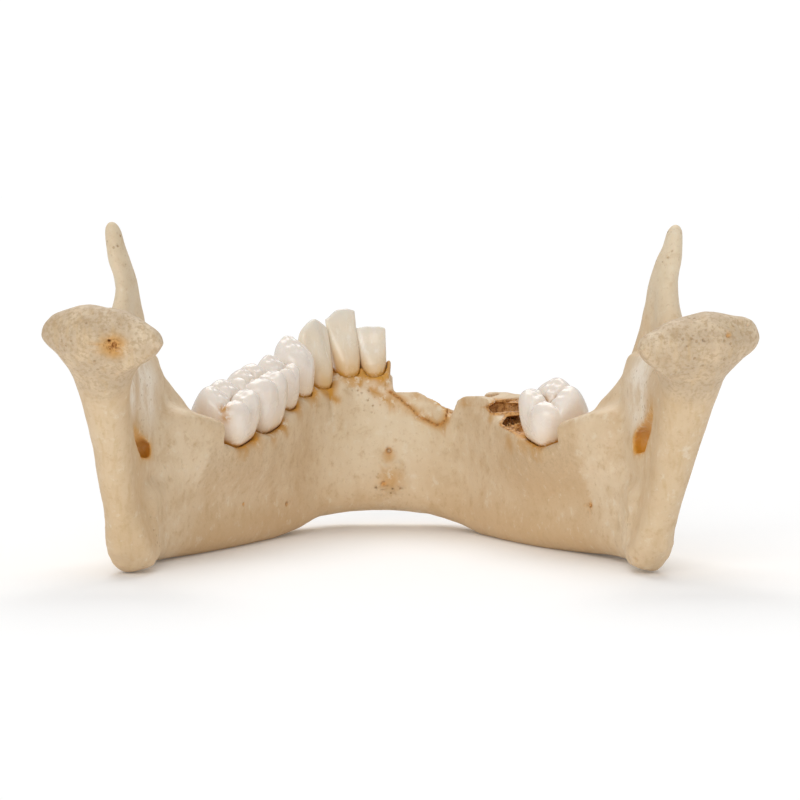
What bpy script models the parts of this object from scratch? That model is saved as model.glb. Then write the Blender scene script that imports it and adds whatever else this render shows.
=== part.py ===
"""Human lower jaw, life size, with the eight teeth that it still holds.

Lengths in the shape functions are in millimetres. X runs to the jaw's right side,
Y from the jaw angles towards the chin, Z up from the table the jaw lies on.
"""
import math

import bmesh
import bpy
import numpy as np
import openvdb
from mathutils import Matrix, Vector

MM = 0.001

# Working block and cell size of the bone, then of a tooth
BONE_LOW = (-62.0, -34.0, -3.0)
BONE_HIGH = (66.0, 84.0, 63.0)
BONE_CELL = 0.6
TOOTH_CELL = 0.36
BONE_TRIANGLES = 8200
TOOTH_TRIANGLES = 420

# Gap between a tooth and its socket
SOCKET_GAP = 0.42

# Lower border in plan, from the chin to the angle: left side, then right side
BASE_LEFT = ((0, 72.9), (8.0, 71.4), (15.2, 67.2), (19.4, 62.0), (24.2, 52.8),
             (31.0, 38.4), (37.0, 26.0), (40.8, 16.3), (43.7, 5.0), (44.6, -5.0))
BASE_RIGHT = ((0, 72.9), (8.0, 71.2), (14.8, 66.2), (19.4, 59.8), (24.2, 49.6),
              (30.6, 37.4), (37.4, 25.6), (41.2, 17.0), (44.6, 6.0), (45.6, -5.0))

# Tooth row in plan at the same ten stations
CREST_LEFT = ((0, 71.8), (7.8, 70.6), (13.9, 66.2), (18.1, 60.2), (21.4, 53.0),
              (26.6, 40.0), (31.8, 26.5), (37.0, 16.0), (41.8, 5.0), (43.0, -5.0))
CREST_RIGHT = ((0, 71.8), (7.6, 70.6), (13.6, 66.2), (17.6, 60.2), (21.0, 53.0),
               (26.4, 40.0), (32.2, 26.5), (38.0, 16.0), (43.0, 5.0), (44.2, -5.0))

# Heights of the lower border and of the tooth row at the ten stations
BASE_Z_LEFT = (3.2, 3.1, 2.4, 0.6, -0.3, -0.4, -0.1, 0.8, 0.2, 2.5)
BASE_Z_RIGHT = (3.2, 2.7, 1.2, -0.3, -0.6, -0.5, 0.3, 1.5, 1.0, 2.5)
CREST_Z_LEFT = (28.4, 28.8, 28.2, 26.6, 25.0, 22.4, 24.6, 27.0, 27.0, 27.0)
CREST_Z_RIGHT = (27.4, 26.0, 25.0, 25.4, 25.0, 22.4, 24.6, 27.0, 27.0, 27.0)

# Broken crest of the right front, as seen from behind: X and the height left there
BROKEN_EDGE = ((-0.2, 29.5), (0.9, 26.8), (1.4, 26.4), (4.8, 26.2), (7.6, 24.8), (9.0, 24.2),
               (10.2, 22.8), (11.8, 22.5), (12.6, 25.0), (20.0, 26.4), (24.0, 40.0))
BROKEN_FROM_Y = 54.0

# Half thickness of the body: at the border, at the crest inwards and outwards
BORDER_HALF = (5.4, 5.2, 5.2, 5.0, 4.9, 4.9, 4.5, 3.8, 3.2, 3.0)
CREST_HALF_IN = (3.8, 3.8, 4.3, 4.6, 5.3, 6.4, 4.8, 3.2, 3.0, 3.0)
CREST_HALF_OUT = (3.9, 3.9, 4.2, 4.6, 5.4, 6.6, 6.8, 4.5, 3.0, 3.0)

# Hollow of the inner face below the mylohyoid line and of the outer face
HOLLOW_IN = (0.1, 0.2, 0.4, 0.6, 0.8, 1.4, 1.2, 0.5, 0.0, 0.0)
HOLLOW_OUT = (2.6, 2.2, 1.5, 1.0, 0.6, 0.0, 0.0, 0.0, 0.0, 0.0)
CREST_SLOPE = 0.26
BORDER_CURVE = 0.043

# Side outline of a ramus with its forward root in the body: Y, Z
RAMUS_OUTLINE = ((0, -0.4), (5, 0.1), (12, 1.2), (20, 2.4), (30, 3.0), (40, 3.6),
                 (45, 7), (41, 12), (35, 17.6), (29, 23.4), (23.6, 29.2),
                 (19.6, 35.8), (17.6, 43), (15.6, 50), (13.0, 56.8), (10.4, 59.3),
                 (8.2, 57.0), (6.8, 50.6), (4.8, 44.6), (0.8, 39.4), (-4.2, 36.6),
                 (-9.2, 36.2), (-13.6, 38.4), (-18.0, 42.0), (-24.2, 42.0),
                 (-22.0, 37.2), (-17.8, 31), (-13.4, 23), (-10.4, 15), (-7.8, 7.5),
                 (-4.2, 2.2))

# Condyle axis from the outer to the inner end, with the radius at each point
CONDYLE_LEFT = ((-52.6, -21.0, 41.9, 2.8), (-48.2, -22.2, 41.2, 4.4),
                (-43.0, -23.6, 40.9, 3.7), (-39.1, -24.8, 39.9, 2.2))
CONDYLE_RIGHT = ((56.3, -21.0, 41.2, 2.8), (51.4, -22.2, 40.2, 4.2),
                 (46.0, -23.6, 39.4, 3.7), (42.5, -24.6, 39.0, 2.2))

# Neck below the condyle: height, outer and inner X, middle and half depth in Y
NECK_LEFT = ((6, -45.5, -44.0, -3.2, 1.0), (14, -47.0, -43.4, -6.2, 2.6),
             (22, -48.0, -43.2, -9.8, 3.8), (30, -49.5, -43.0, -14.8, 4.5),
             (34, -50.8, -41.7, -17.8, 4.8), (38, -52.2, -39.2, -20.9, 4.9),
             (41, -53.8, -38.0, -22.4, 4.4))
NECK_RIGHT = ((6, 46.2, 45.0, -3.2, 1.0), (14, 48.1, 44.6, -6.2, 2.6),
              (22, 50.5, 44.4, -9.8, 3.8), (30, 53.0, 44.6, -14.8, 4.5),
              (34, 54.2, 43.8, -17.8, 4.8), (37, 55.6, 41.8, -20.5, 4.9),
              (40, 57.2, 41.2, -22.2, 4.4))


def smooth_min(first, second, blend):
    """Union of two bodies with a fillet of about the blend length."""
    share = np.clip(0.5 + 0.5 * (second - first) / blend, 0.0, 1.0)
    return second + (first - second) * share - blend * share * (1.0 - share)


def smooth_max(first, second, blend):
    """Common part of two bodies with a rounded edge."""
    return -smooth_min(-first, -second, blend)


def smooth_step(value):
    value = np.clip(value, 0.0, 1.0)
    return value * value * (3.0 - 2.0 * value)


def grid_axes(low, high, cell):
    """Three broadcastable coordinate arrays of a block of cells."""
    axes = []
    for axis in range(3):
        count = int(round((high[axis] - low[axis]) / cell)) + 1
        values = low[axis] + cell * np.arange(count)
        shape = [1, 1, 1]
        shape[axis] = count
        axes.append(values.reshape(shape).astype(np.float32))
    return axes


def spline(points, per_span, closed=False):
    """Smooth curve through the points, with the station number of each sample."""
    points = np.array(points, dtype=float)
    count = len(points)
    spans = count if closed else count - 1
    samples = []
    stations = []
    for span in range(spans):
        if closed:
            ids = [(span - 1) % count, span, (span + 1) % count, (span + 2) % count]
        else:
            ids = [max(span - 1, 0), span, span + 1, min(span + 2, count - 1)]
        p0, p1, p2, p3 = points[ids]
        for step in range(per_span):
            t = step / per_span
            samples.append(0.5 * (2 * p1 + (p2 - p0) * t
                                  + (2 * p0 - 5 * p1 + 4 * p2 - p3) * t * t
                                  + (3 * p1 - p0 - 3 * p2 + p3) * t ** 3))
            stations.append(span + t)
    if not closed:
        samples.append(points[-1])
        stations.append(count - 1.0)
    return np.array(samples), np.array(stations)


def full_row(left, right):
    """Joins half rows at the chin into one row from left angle to right angle."""
    if np.ndim(left[0]) == 0:
        return list(reversed(left)) + list(right[1:])
    row = [(-x, y) for x, y in reversed(left)]
    return row + [tuple(point) for point in right[1:]]


def arch_distance(points, x, y):
    """Distance outwards from an arch in plan, and the station of the foot point."""
    curve, stations = spline(points, 10)
    best = np.full(np.broadcast(x, y).shape, 1e9)
    signed = np.zeros_like(best)
    station = np.zeros_like(best)
    for start, end, s0, s1 in zip(curve[:-1], curve[1:], stations[:-1], stations[1:]):
        along = end - start
        length = float(np.hypot(*along))
        dx = x - start[0]
        dy = y - start[1]
        share = np.clip((dx * along[0] + dy * along[1]) / length ** 2, 0.0, 1.0)
        away = np.hypot(dx - share * along[0], dy - share * along[1])
        side = np.sign(dy * along[0] - dx * along[1])
        closer = away < best
        best = np.where(closer, away, best)
        signed = np.where(closer, side * away, signed)
        station = np.where(closer, s0 + share * (s1 - s0), station)
    return signed, station


def outline_distance(points, u, v):
    """Signed distance to a closed smooth outline in a plane, negative inside."""
    curve, _ = spline(points, 6, closed=True)
    best = np.full(np.broadcast(u, v).shape, 1e9)
    inside = np.zeros(best.shape, dtype=bool)
    for start, end in zip(curve, np.roll(curve, -1, axis=0)):
        along = end - start
        du = u - start[0]
        dv = v - start[1]
        share = np.clip((du * along[0] + dv * along[1]) / (along @ along), 0.0, 1.0)
        best = np.minimum(best, np.hypot(du - share * along[0], dv - share * along[1]))
        rise = end[1] - start[1]
        if rise != 0.0:
            crossing = start[0] + (v - start[1]) / rise * along[0]
            inside ^= ((start[1] > v) != (end[1] > v)) & (u < crossing)
    return np.where(inside, -best, best)


def round_chain(points, x, y, z, depth_scale=1.0):
    """Chain of balls of changing radius; depth_scale thins it along Y."""
    body = None
    for (ax, ay, az, ar), (bx, by, bz, br) in zip(points[:-1], points[1:]):
        dx, dy, dz = bx - ax, by - ay, bz - az
        px, py, pz = x - ax, (y - ay), z - az
        share = (px * dx + py * dy + pz * dz) / (dx * dx + dy * dy + dz * dz)
        share = np.clip(share, 0.0, 1.0)
        away = np.sqrt((px - share * dx) ** 2 + ((py - share * dy) / depth_scale) ** 2
                       + (pz - share * dz) ** 2)
        link = away - (ar + share * (br - ar))
        body = link if body is None else smooth_min(body, link, 1.5)
    return body


def jaw_body(x, y, z):
    """Body of the jaw, swept along the arch from angle to angle."""
    flat_x = x[:, :, 0]
    flat_y = y[:, :, 0]
    base_off, base_station = arch_distance(full_row(BASE_LEFT, BASE_RIGHT), flat_x, flat_y)
    crest_off, crest_station = arch_distance(full_row(CREST_LEFT, CREST_RIGHT), flat_x, flat_y)
    station = 0.5 * (base_station + crest_station)
    numbers = np.arange(2 * len(BASE_LEFT) - 1)

    def along(left, right):
        return np.interp(station, numbers, full_row(left, right))[:, :, None]

    low = along(BASE_Z_LEFT, BASE_Z_RIGHT)
    high = along(CREST_Z_LEFT, CREST_Z_RIGHT)
    share = np.clip((z - low) / (high - low), 0.0, 1.0)
    off = base_off[:, :, None] * (1.0 - share) + crest_off[:, :, None] * share
    rise = smooth_step(share)
    border = along(BORDER_HALF, BORDER_HALF)
    inner = border + (along(CREST_HALF_IN, CREST_HALF_IN) - border) * rise
    inner = inner - along(HOLLOW_IN, HOLLOW_IN) * np.exp(-((share - 0.42) / 0.18) ** 2)
    outer = border + (along(CREST_HALF_OUT, CREST_HALF_OUT) - border) * rise
    outer = outer - along(HOLLOW_OUT, HOLLOW_OUT) * np.exp(-((share - 0.56) / 0.22) ** 2)
    body = np.maximum(off - outer, -off - inner)
    curved_low = low + BORDER_CURVE * np.clip(off, -6.0, 6.0) ** 2
    body = smooth_max(body, curved_low - z, 3.0)
    body = smooth_max(body, z - high - CREST_SLOPE * np.clip(off, -6.0, 6.0), 1.4)
    return smooth_max(body, 10.0 - y + 0.25 * np.abs(z - 12.0), 6.0)


def ramus_middle(y, z):
    """Distance of the middle of a ramus from the mid-plane."""
    middle = 45.3 + 0.1 * (z - 20.0) - 0.067 * (y + 8.0)
    middle = middle - 0.25 * np.logaddexp(0.0, (y - 14.0) / 2.0) * 2.0
    middle = middle - 0.5 * smooth_step((z - 52.0) / 5.0)
    return middle - 1.7 * np.exp(-((z - 48.0) / 6.0) ** 2)


def ramus(side, x, y, z):
    """One ramus: plate inside the side outline, with coronoid, neck and condyle."""
    flat_y = y[0, :, :]
    flat_z = z[0, :, :]
    lower_tip = 0.0 if side < 0 else 0.5
    outline_z = flat_z + lower_tip * smooth_step((flat_z - 40.0) / 18.0)
    edge = outline_distance(RAMUS_OUTLINE, flat_y, outline_z)[None, :, :]
    widen = 0.0 if side < 0 else 0.2 + 1.1 * smooth_step((flat_z - 6.0) / 16.0)
    foot = 1.6 if side < 0 else 1.0
    stout = 0.0 if side < 0 else 0.45 * np.exp(-((flat_z - 47.0) / 7.0) ** 2)
    middle = side * (ramus_middle(flat_y, flat_z) + widen + stout)[None, :, :]
    half = 2.7 + stout + 0.6 * smooth_step((flat_y - 12.0) / 14.0)
    half = half - 1.3 * smooth_step((flat_z - 36.0) / 14.0)
    half = half - 0.35 * np.exp(-((flat_z - 43.0) / 5.0) ** 2)
    half = half + foot * smooth_step((12.0 - flat_z) / 10.0) * smooth_step((8.0 - flat_y) / 10.0)
    round_edge = 4.0 + 0.8 * smooth_step((10.0 - flat_z) / 8.0)
    round_edge = round_edge - 1.3 * smooth_step((flat_z - 40.0) / 10.0)
    plate = smooth_max(edge, np.abs(x - middle) - half[None, :, :], round_edge[None, :, :])

    neck = np.array(NECK_LEFT if side < 0 else NECK_RIGHT)
    level = z[0, 0, :]
    outer = np.interp(level, neck[:, 0], neck[:, 1])
    inner = np.interp(level, neck[:, 0], neck[:, 2])
    centre_y = np.interp(level, neck[:, 0], neck[:, 3])
    half_y = np.interp(level, neck[:, 0], neck[:, 4])
    across = (x - 0.5 * (outer + inner)) / (0.5 * np.abs(outer - inner))
    deep = (y - centre_y) / half_y
    column = (np.sqrt(across ** 2 + deep ** 2) - 1.0) * half_y
    column = smooth_max(column, neck[0, 0] - z, 2.0)
    column = smooth_max(column, z - neck[-1, 0], 2.0)
    head = round_chain(CONDYLE_LEFT if side < 0 else CONDYLE_RIGHT, x, y, z, 0.95)
    return smooth_min(smooth_min(plate, column, 3.6), head, 4.0)


# Teeth: name, side, X and Y at the neck, neck height, crown width along the row,
# crown width across it, crown height, root length, lean inwards and forwards in degrees
TEETH = (
    ("left_central_incisor", "incisor", -3.3, 71.4, 28.6, 5.4, 5.8, 9.4, 9.0, 2, -2),
    ("left_lateral_incisor", "incisor", -8.3, 70.3, 28.6, 5.6, 6.2, 12.6, 9.0, 2, -7),
    ("left_canine", "canine", -13.8, 66.4, 27.4, 6.6, 7.6, 12.2, 10.0, 0, -5),
    ("left_first_premolar", "premolar", -18.0, 60.2, 26.4, 7.2, 8.0, 10.2, 9.0, 4, -4),
    ("left_second_premolar", "premolar", -21.2, 53.4, 24.8, 7.2, 8.6, 8.6, 9.0, 9, -6),
    ("left_first_molar", "molar", -25.4, 44.4, 22.2, 11.2, 11.0, 9.8, 9.0, 15, -8),
    ("left_second_molar", "molar", -29.9, 33.6, 20.4, 10.9, 11.0, 9.2, 8.0, 16, -6),
    ("right_second_molar", "molar", 29.6, 33.6, 20.4, 10.9, 11.0, 9.4, 8.0, 16, -6),
)

# Empty sockets of the right side: X, Y, top Z, widths along and across, depth
EMPTY_SOCKETS = (
    (3.4, 71.8, 27.0, 3.4, 4.6, 7.0),
    (8.8, 70.0, 26.0, 3.8, 4.8, 7.0),
    (13.4, 66.2, 25.6, 4.4, 5.6, 9.0),
    (17.4, 60.2, 26.0, 4.2, 5.4, 8.0),
    (20.8, 53.4, 25.6, 4.2, 5.8, 8.0),
    (23.6, 47.0, 24.6, 3.4, 7.4, 7.0),
    (26.4, 41.2, 23.4, 3.4, 7.0, 7.0),
)


def row_direction(x, y):
    """Unit vector along the tooth row, towards the chin, at a point near it."""
    curve, _ = spline(full_row(CREST_LEFT, CREST_RIGHT), 10)
    nearest = int(np.argmin(np.hypot(curve[:, 0] - x, curve[:, 1] - y)))
    nearest = min(max(nearest, 2), len(curve) - 3)
    along = curve[nearest + 2] - curve[nearest - 2]
    along = along / np.hypot(*along)
    if x > 0.0:
        along = -along
    return along


def tooth_frame(x, y, neck_z, lean_in, lean_forward):
    """Unit axes of a tooth: along the row, outwards, and up its long axis."""
    along = row_direction(x, y)
    side = -1.0 if x < 0.0 else 1.0
    outward = np.array((side * along[1], -side * along[0]))
    up = np.array((0.0, 0.0, 1.0))
    row = np.array((along[0], along[1], 0.0))
    out = np.array((outward[0], outward[1], 0.0))
    angle = math.radians(lean_in)
    axis = up * math.cos(angle) - out * math.sin(angle)
    out = out * math.cos(angle) + up * math.sin(angle)
    angle = math.radians(lean_forward)
    return row * math.cos(angle) - axis * math.sin(angle), out, \
        axis * math.cos(angle) + row * math.sin(angle)


def local_axes(frame, origin, x, y, z):
    """Coordinates of grid points in a tooth's own frame."""
    parts = []
    for axis in frame:
        parts.append((x - origin[0]) * axis[0] + (y - origin[1]) * axis[1]
                     + (z - origin[2]) * axis[2])
    return parts


def section(along, across, half_along, half_across, power):
    """Rounded oblong cross-section, negative inside."""
    reach = (np.abs(along / half_along) ** power
             + np.abs(across / half_across) ** power) ** (1.0 / power)
    return (reach - 1.0) * np.minimum(half_along, half_across)


def tooth_shape(kind, along, across, up, width, depth, height, root):
    """Crown and root of one tooth as a signed field, negative inside."""
    rise = np.clip(up / height, 0.0, 1.0)
    sink = np.clip(-up / root, 0.0, 1.0)
    if kind == "incisor":
        half_along = 0.5 * width * (0.68 + 0.32 * rise ** 0.7) * (1.0 - 0.45 * sink)
        half_across = 0.5 * depth * (1.0 - 0.8 * rise ** 1.1) * (1.0 - 0.4 * sink)
        shift = -0.9 * rise + 0.8 * rise ** 3
        top = up - height + 0.05 * along ** 2
        power = 2.4
    elif kind == "canine":
        half_along = 0.5 * width * (0.72 + 0.28 * np.sin(math.pi * 0.62 * rise)) \
            * (1.0 - 0.45 * sink)
        half_across = 0.5 * depth * (1.0 - 0.72 * rise ** 1.5) * (1.0 - 0.4 * sink)
        shift = -0.6 * rise
        top = up - height + 0.42 * np.sqrt(along ** 2 + 0.6) - 0.3
        power = 2.2
    elif kind == "premolar":
        half_along = 0.5 * width * (0.76 + 0.24 * np.sin(math.pi * 0.6 * rise)) \
            * (1.0 - 0.5 * sink)
        half_across = 0.5 * depth * (0.84 + 0.16 * np.sin(math.pi * 0.7 * rise)) \
            * (1.0 - 0.4 * sink)
        shift = 0.0 * rise
        cusp = 2.6 * np.exp(-(along ** 2 + (across - 0.2 * depth) ** 2) / 5.0)
        low_cusp = 1.3 * np.exp(-(along ** 2 + (across + 0.27 * depth) ** 2) / 3.0)
        top = up - height + 2.4 - np.maximum(cusp, low_cusp)
        power = 2.2
    else:
        half_along = 0.5 * width * (0.8 + 0.2 * np.sin(math.pi * 0.62 * rise))
        half_across = 0.5 * depth * (0.86 + 0.14 * np.sin(math.pi * 0.66 * rise))
        shift = 0.0 * rise
        top = up - height + 2.1
        for cusp_along in (-0.25, 0.25):
            for cusp_across in (-0.25, 0.25):
                away = (along - cusp_along * width) ** 2 + (across - cusp_across * depth) ** 2
                top = top - 2.2 * np.exp(-away / 4.4)
        power = 2.8
    crown = section(along, across - shift, half_along, half_across, power)
    crown = smooth_max(crown, top, 1.1)
    crown = smooth_max(crown, -root - up, 1.5)
    if kind != "molar":
        return crown
    crown = smooth_max(crown, -3.0 - up, 1.5)
    for place in (-0.25, 0.25):
        prong = section(along - place * width, across, 0.17 * width * (1.0 - 0.35 * sink),
                        0.36 * depth * (1.0 - 0.35 * sink), 2.2)
        prong = smooth_max(prong, -root - up, 1.5)
        prong = smooth_max(prong, up - 1.0, 1.0)
        crown = smooth_min(crown, prong, 0.8)
    return crown


def true_distance(field, cell):
    """Scales a field so that it reads as a distance near its surface."""
    slopes = np.gradient(field, cell)
    steep = np.sqrt(slopes[0] ** 2 + slopes[1] ** 2 + slopes[2] ** 2)
    return field / np.clip(steep, 0.25, 4.0)


def cut_box(field, axes, low, high, cutter):
    """Takes a cutter, worked out only inside a small box, out of a field."""
    slices = []
    parts = []
    for axis, values in enumerate(axes):
        line = values.ravel()
        first = int(np.searchsorted(line, low[axis]))
        last = int(np.searchsorted(line, high[axis]))
        cut = [slice(None)] * 3
        cut[axis] = slice(first, last)
        slices.append(slice(first, last))
        parts.append(values[tuple(cut)])
    where = tuple(slices)
    field[where] = cutter(field[where], *parts)


def take_sockets(field, axes):
    """Cuts the sockets of the teeth, and the empty ones, into the bone."""
    for name, kind, tx, ty, neck, width, depth, height, root, lean, tip in TEETH:
        frame = tooth_frame(tx, ty, neck, lean, tip)

        def tooth_cut(part, x, y, z):
            along, across, up = local_axes(frame, (tx, ty, neck), x, y, z)
            shape = tooth_shape(kind, along, across, up, width, depth, height, root)
            shape = true_distance(shape, BONE_CELL) - SOCKET_GAP
            return np.maximum(part, -shape)

        cut_box(field, axes, (tx - 13, ty - 13, neck - root - 4),
                (tx + 13, ty + 13, neck + height + 3), tooth_cut)
    for tx, ty, top, width, depth, deep in EMPTY_SOCKETS:
        frame = tooth_frame(tx, ty, top, 6.0, 0.0)

        def socket_cut(part, x, y, z):
            along, across, up = local_axes(frame, (tx, ty, top), x, y, z)
            sink = np.clip(-up / deep, 0.0, 1.0)
            shape = section(along, across, 0.5 * width * (1.0 - 0.3 * sink),
                            0.5 * depth * (1.0 - 0.3 * sink), 2.2)
            shape = smooth_max(shape, -deep - up, 1.5)
            return smooth_max(part, -shape, 0.5)

        cut_box(field, axes, (tx - 9, ty - 9, top - deep - 3),
                (tx + 9, ty + 9, top + 8), socket_cut)


def add_ridges(field, x, y, z):
    """Raised lines and bumps of the inner and outer faces."""
    for side in (-1.0, 1.0):
        wide = 0.0 if side < 0 else 0.8
        mylohyoid = [(side * (37.0 + wide), 20.0, 19.0, 1.0), (side * 31.0, 31.0, 16.4, 1.6),
                     (side * 24.4, 46.0, 12.6, 1.2), (side * 19.4, 58.0, 8.6, 0.6)]
        field = smooth_min(field, round_chain(mylohyoid, x, y, z), 6.0)
        temporal = [(side * (45.8 + wide), 10.5, 52.0, 0.7), (side * (44.2 + wide), 15.0, 42.0, 1.0),
                    (side * (42.0 + wide), 20.4, 32.6, 1.4), (side * (38.0 + wide), 25.6, 26.0, 1.6)]
        field = smooth_min(field, round_chain(temporal, x, y, z), 3.0)
        lingula = [(side * (41.0 + wide), 10.4, 20.4, 1.3), (side * (41.3 + wide), 9.4, 23.0, 0.7)]
        field = smooth_min(field, round_chain(lingula, x, y, z), 1.6)
        tubercle = [(side * 10.0, 76.2, 7.2, 2.4), (side * 8.0, 76.8, 7.6, 2.4)]
        field = smooth_min(field, round_chain(tubercle, x, y, z), 5.0)
    chin = [(0.0, 76.4, 8.0, 2.6), (0.0, 75.6, 13.0, 1.6)]
    field = smooth_min(field, round_chain(chin, x, y, z), 5.0)
    spine = [(-1.4, 67.6, 9.0, 0.9), (1.4, 67.6, 9.0, 0.9), (0.4, 67.8, 12.0, 0.7)]
    return smooth_min(field, round_chain(spine, x, y, z), 2.0)


def cut_openings(field, x, y, z):
    """Nerve canals at the inner ramus and beside the chin."""
    for side in (-1.0, 1.0):
        wide = 0.0 if side < 0 else 0.9
        canal = [(side * (41.3 + wide), 1.0, 26.0, 0.8), (side * (42.1 + wide), 5.0, 21.6, 1.4),
                 (side * (42.6 + wide), 12.0, 18.6, 1.4)]
        field = smooth_max(field, -round_chain(canal, x, y, z), 0.9)
        groove = [(side * (41.4 + wide), 12.0, 17.0, 0.8), (side * (37.6 + wide), 19.0, 11.5, 0.6)]
        field = smooth_max(field, -round_chain(groove, x, y, z), 1.2)
        mental = [(side * 32.0, 55.0, 15.5, 1.5), (side * 25.6, 53.4, 12.6, 1.4)]
        field = smooth_max(field, -round_chain(mental, x, y, z), 0.8)
    return field


def mesh_object(name, field, low, cell, triangles, collection):
    """Turns a field into one closed, smooth-shaded solid of about that many faces."""
    volume = openvdb.FloatGrid(background=3.0)
    volume.copyFromArray(np.clip(field, -3.0, 3.0).astype(np.float32))
    points, quads = volume.convertToQuads(isovalue=0.0)
    verts = (np.array(points, dtype=float) * cell + np.array(low)) * MM
    mesh = bpy.data.meshes.new(name)
    mesh.from_pydata(verts.tolist(), [], [list(map(int, quad)) for quad in quads])
    mesh.update()
    keep_largest(mesh)
    obj = bpy.data.objects.new(name, mesh)
    collection.objects.link(obj)
    reduce_to(obj, triangles)
    return obj


def keep_largest(mesh):
    """Leaves only the largest closed surface, merged, triangulated, facing out."""
    work = bmesh.new()
    work.from_mesh(mesh)
    bmesh.ops.remove_doubles(work, verts=work.verts, dist=0.00001)
    bmesh.ops.triangulate(work, faces=work.faces)
    work.faces.ensure_lookup_table()
    left = set(work.faces)
    shells = []
    while left:
        seed = left.pop()
        shell = [seed]
        stack = [seed]
        while stack:
            face = stack.pop()
            for edge in face.edges:
                for other in edge.link_faces:
                    if other in left:
                        left.discard(other)
                        shell.append(other)
                        stack.append(other)
        shells.append(shell)
    shells.sort(key=len)
    spare = [face for shell in shells[:-1] for face in shell]
    if spare:
        bmesh.ops.delete(work, geom=spare, context="FACES")
    bmesh.ops.recalc_face_normals(work, faces=work.faces)
    work.to_mesh(mesh)
    work.free()


def reduce_to(obj, triangles):
    """Collapses edges until about the wanted number of triangles is left."""
    modifier = obj.modifiers.new("fewer_faces", "DECIMATE")
    modifier.ratio = min(1.0, triangles / max(len(obj.data.polygons), 1))
    modifier.use_collapse_triangulate = True
    bake_modifiers(obj)


def bake_modifiers(obj):
    """Replaces the mesh by its result under all modifiers."""
    graph = bpy.context.evaluated_depsgraph_get()
    graph.update()
    mesh = bpy.data.meshes.new_from_object(obj.evaluated_get(graph))
    old = obj.data
    obj.modifiers.clear()
    obj.data = mesh
    mesh.name = obj.name
    bpy.data.meshes.remove(old)


def cut_flat(obj, cutters):
    """Cuts the bone along the table level, so that it stands on small flats."""
    mesh = bpy.data.meshes.new("table_cut")
    work = bmesh.new()
    bmesh.ops.create_cube(work, size=1.0)
    for vert in work.verts:
        vert.co = Vector((vert.co.x * 0.2, vert.co.y * 0.2 + 0.02, vert.co.z * 0.02 - 0.01))
    work.to_mesh(mesh)
    work.free()
    cutter = bpy.data.objects.new("table_cut", mesh)
    cutters.objects.link(cutter)
    cutter.hide_render = True
    cutter.display_type = "WIRE"
    modifier = obj.modifiers.new("flat", "BOOLEAN")
    modifier.operation = "DIFFERENCE"
    modifier.solver = "EXACT"
    modifier.object = cutter
    bake_modifiers(obj)
    bpy.data.objects.remove(cutter)
    keep_largest(obj.data)


def give_material(obj, colour, roughness):
    """Own material of one piece, smooth shading."""
    material = bpy.data.materials.new(obj.name)
    material.use_nodes = True
    shader = material.node_tree.nodes["Principled BSDF"]
    shader.inputs["Base Color"].default_value = (*colour, 1.0)
    shader.inputs["Roughness"].default_value = roughness
    shader.inputs["Metallic"].default_value = 0.0
    obj.data.materials.clear()
    obj.data.materials.append(material)
    for polygon in obj.data.polygons:
        polygon.use_smooth = True


def make_bone(collection, cutters):
    """The whole bone with its sockets."""
    axes = grid_axes(BONE_LOW, BONE_HIGH, BONE_CELL)
    x, y, z = axes
    field = jaw_body(x, y, z)
    for side in (-1.0, 1.0):
        field = smooth_min(field, ramus(side, x, y, z), 4.0)
    field = add_ridges(field, x, y, z)
    left_height = np.interp(x.ravel(), *np.array(BROKEN_EDGE).T).reshape(x.shape)
    missing = np.maximum(left_height - z, BROKEN_FROM_Y - y)
    missing = np.maximum(missing, BROKEN_EDGE[0][0] - x)
    field = smooth_max(field, -missing, 0.4)
    take_sockets(field, axes)
    field = cut_openings(field, x, y, z)
    bone = mesh_object("jawbone", field, BONE_LOW, BONE_CELL, BONE_TRIANGLES, collection)
    cut_flat(bone, cutters)
    give_material(bone, (0.69, 0.55, 0.38), 0.55)
    return bone


def make_teeth(collection):
    """The eight teeth, each with its root."""
    teeth = []
    for number, entry in enumerate(TEETH):
        name, kind, tx, ty, neck, width, depth, height, root, lean, tip = entry
        frame = tooth_frame(tx, ty, neck, lean, tip)
        low = (-8.0, -8.0, -root - 1.5)
        high = (8.0, 8.0, height + 1.5)
        along, across, up = grid_axes(low, high, TOOTH_CELL)
        field = tooth_shape(kind, along, across, up, width, depth, height, root)
        field = field + np.zeros((along.size, across.size, up.size))
        tooth = mesh_object(name, field, low, TOOTH_CELL, TOOTH_TRIANGLES, collection)
        turn = Matrix([[frame[col][row] for col in range(3)] for row in range(3)]).to_4x4()
        place = Matrix.Translation(Vector((tx, ty, neck)) * MM) @ turn
        tooth.data.transform(place)
        keep_largest(tooth.data)
        shade = 0.012 * (number % 3)
        give_material(tooth, (0.80 - shade, 0.74 - shade, 0.66 - 2 * shade), 0.24)
        teeth.append(tooth)
    return teeth


def centre_on_table(pieces):
    """Moves everything so that the box around it stands centred on the origin."""
    corners = np.array([vert.co[:] for piece in pieces for vert in piece.data.vertices])
    low = corners.min(axis=0)
    high = corners.max(axis=0)
    shift = Vector((-(low[0] + high[0]) / 2, -(low[1] + high[1]) / 2, -low[2]))
    for piece in pieces:
        piece.data.transform(Matrix.Translation(shift))
        piece.data.update()
    return shift


for old in list(bpy.data.objects):
    bpy.data.objects.remove(old, do_unlink=True)

jaw = bpy.data.collections.new("human_jawbone")
cutting = bpy.data.collections.new("cutters")
bpy.context.scene.collection.children.link(jaw)
bpy.context.scene.collection.children.link(cutting)
solids = [make_bone(jaw, cutting)] + make_teeth(jaw)
centre_on_table(solids)
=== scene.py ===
"""A human lower jaw as a museum shows it: the dry bone and the eight teeth it still holds.

Shapes are worked out in millimetres from a zero point on the table midway between the
two jaw angles. X runs to the jaw's right side, Y to the chin, Z up.
"""
import math

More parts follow.
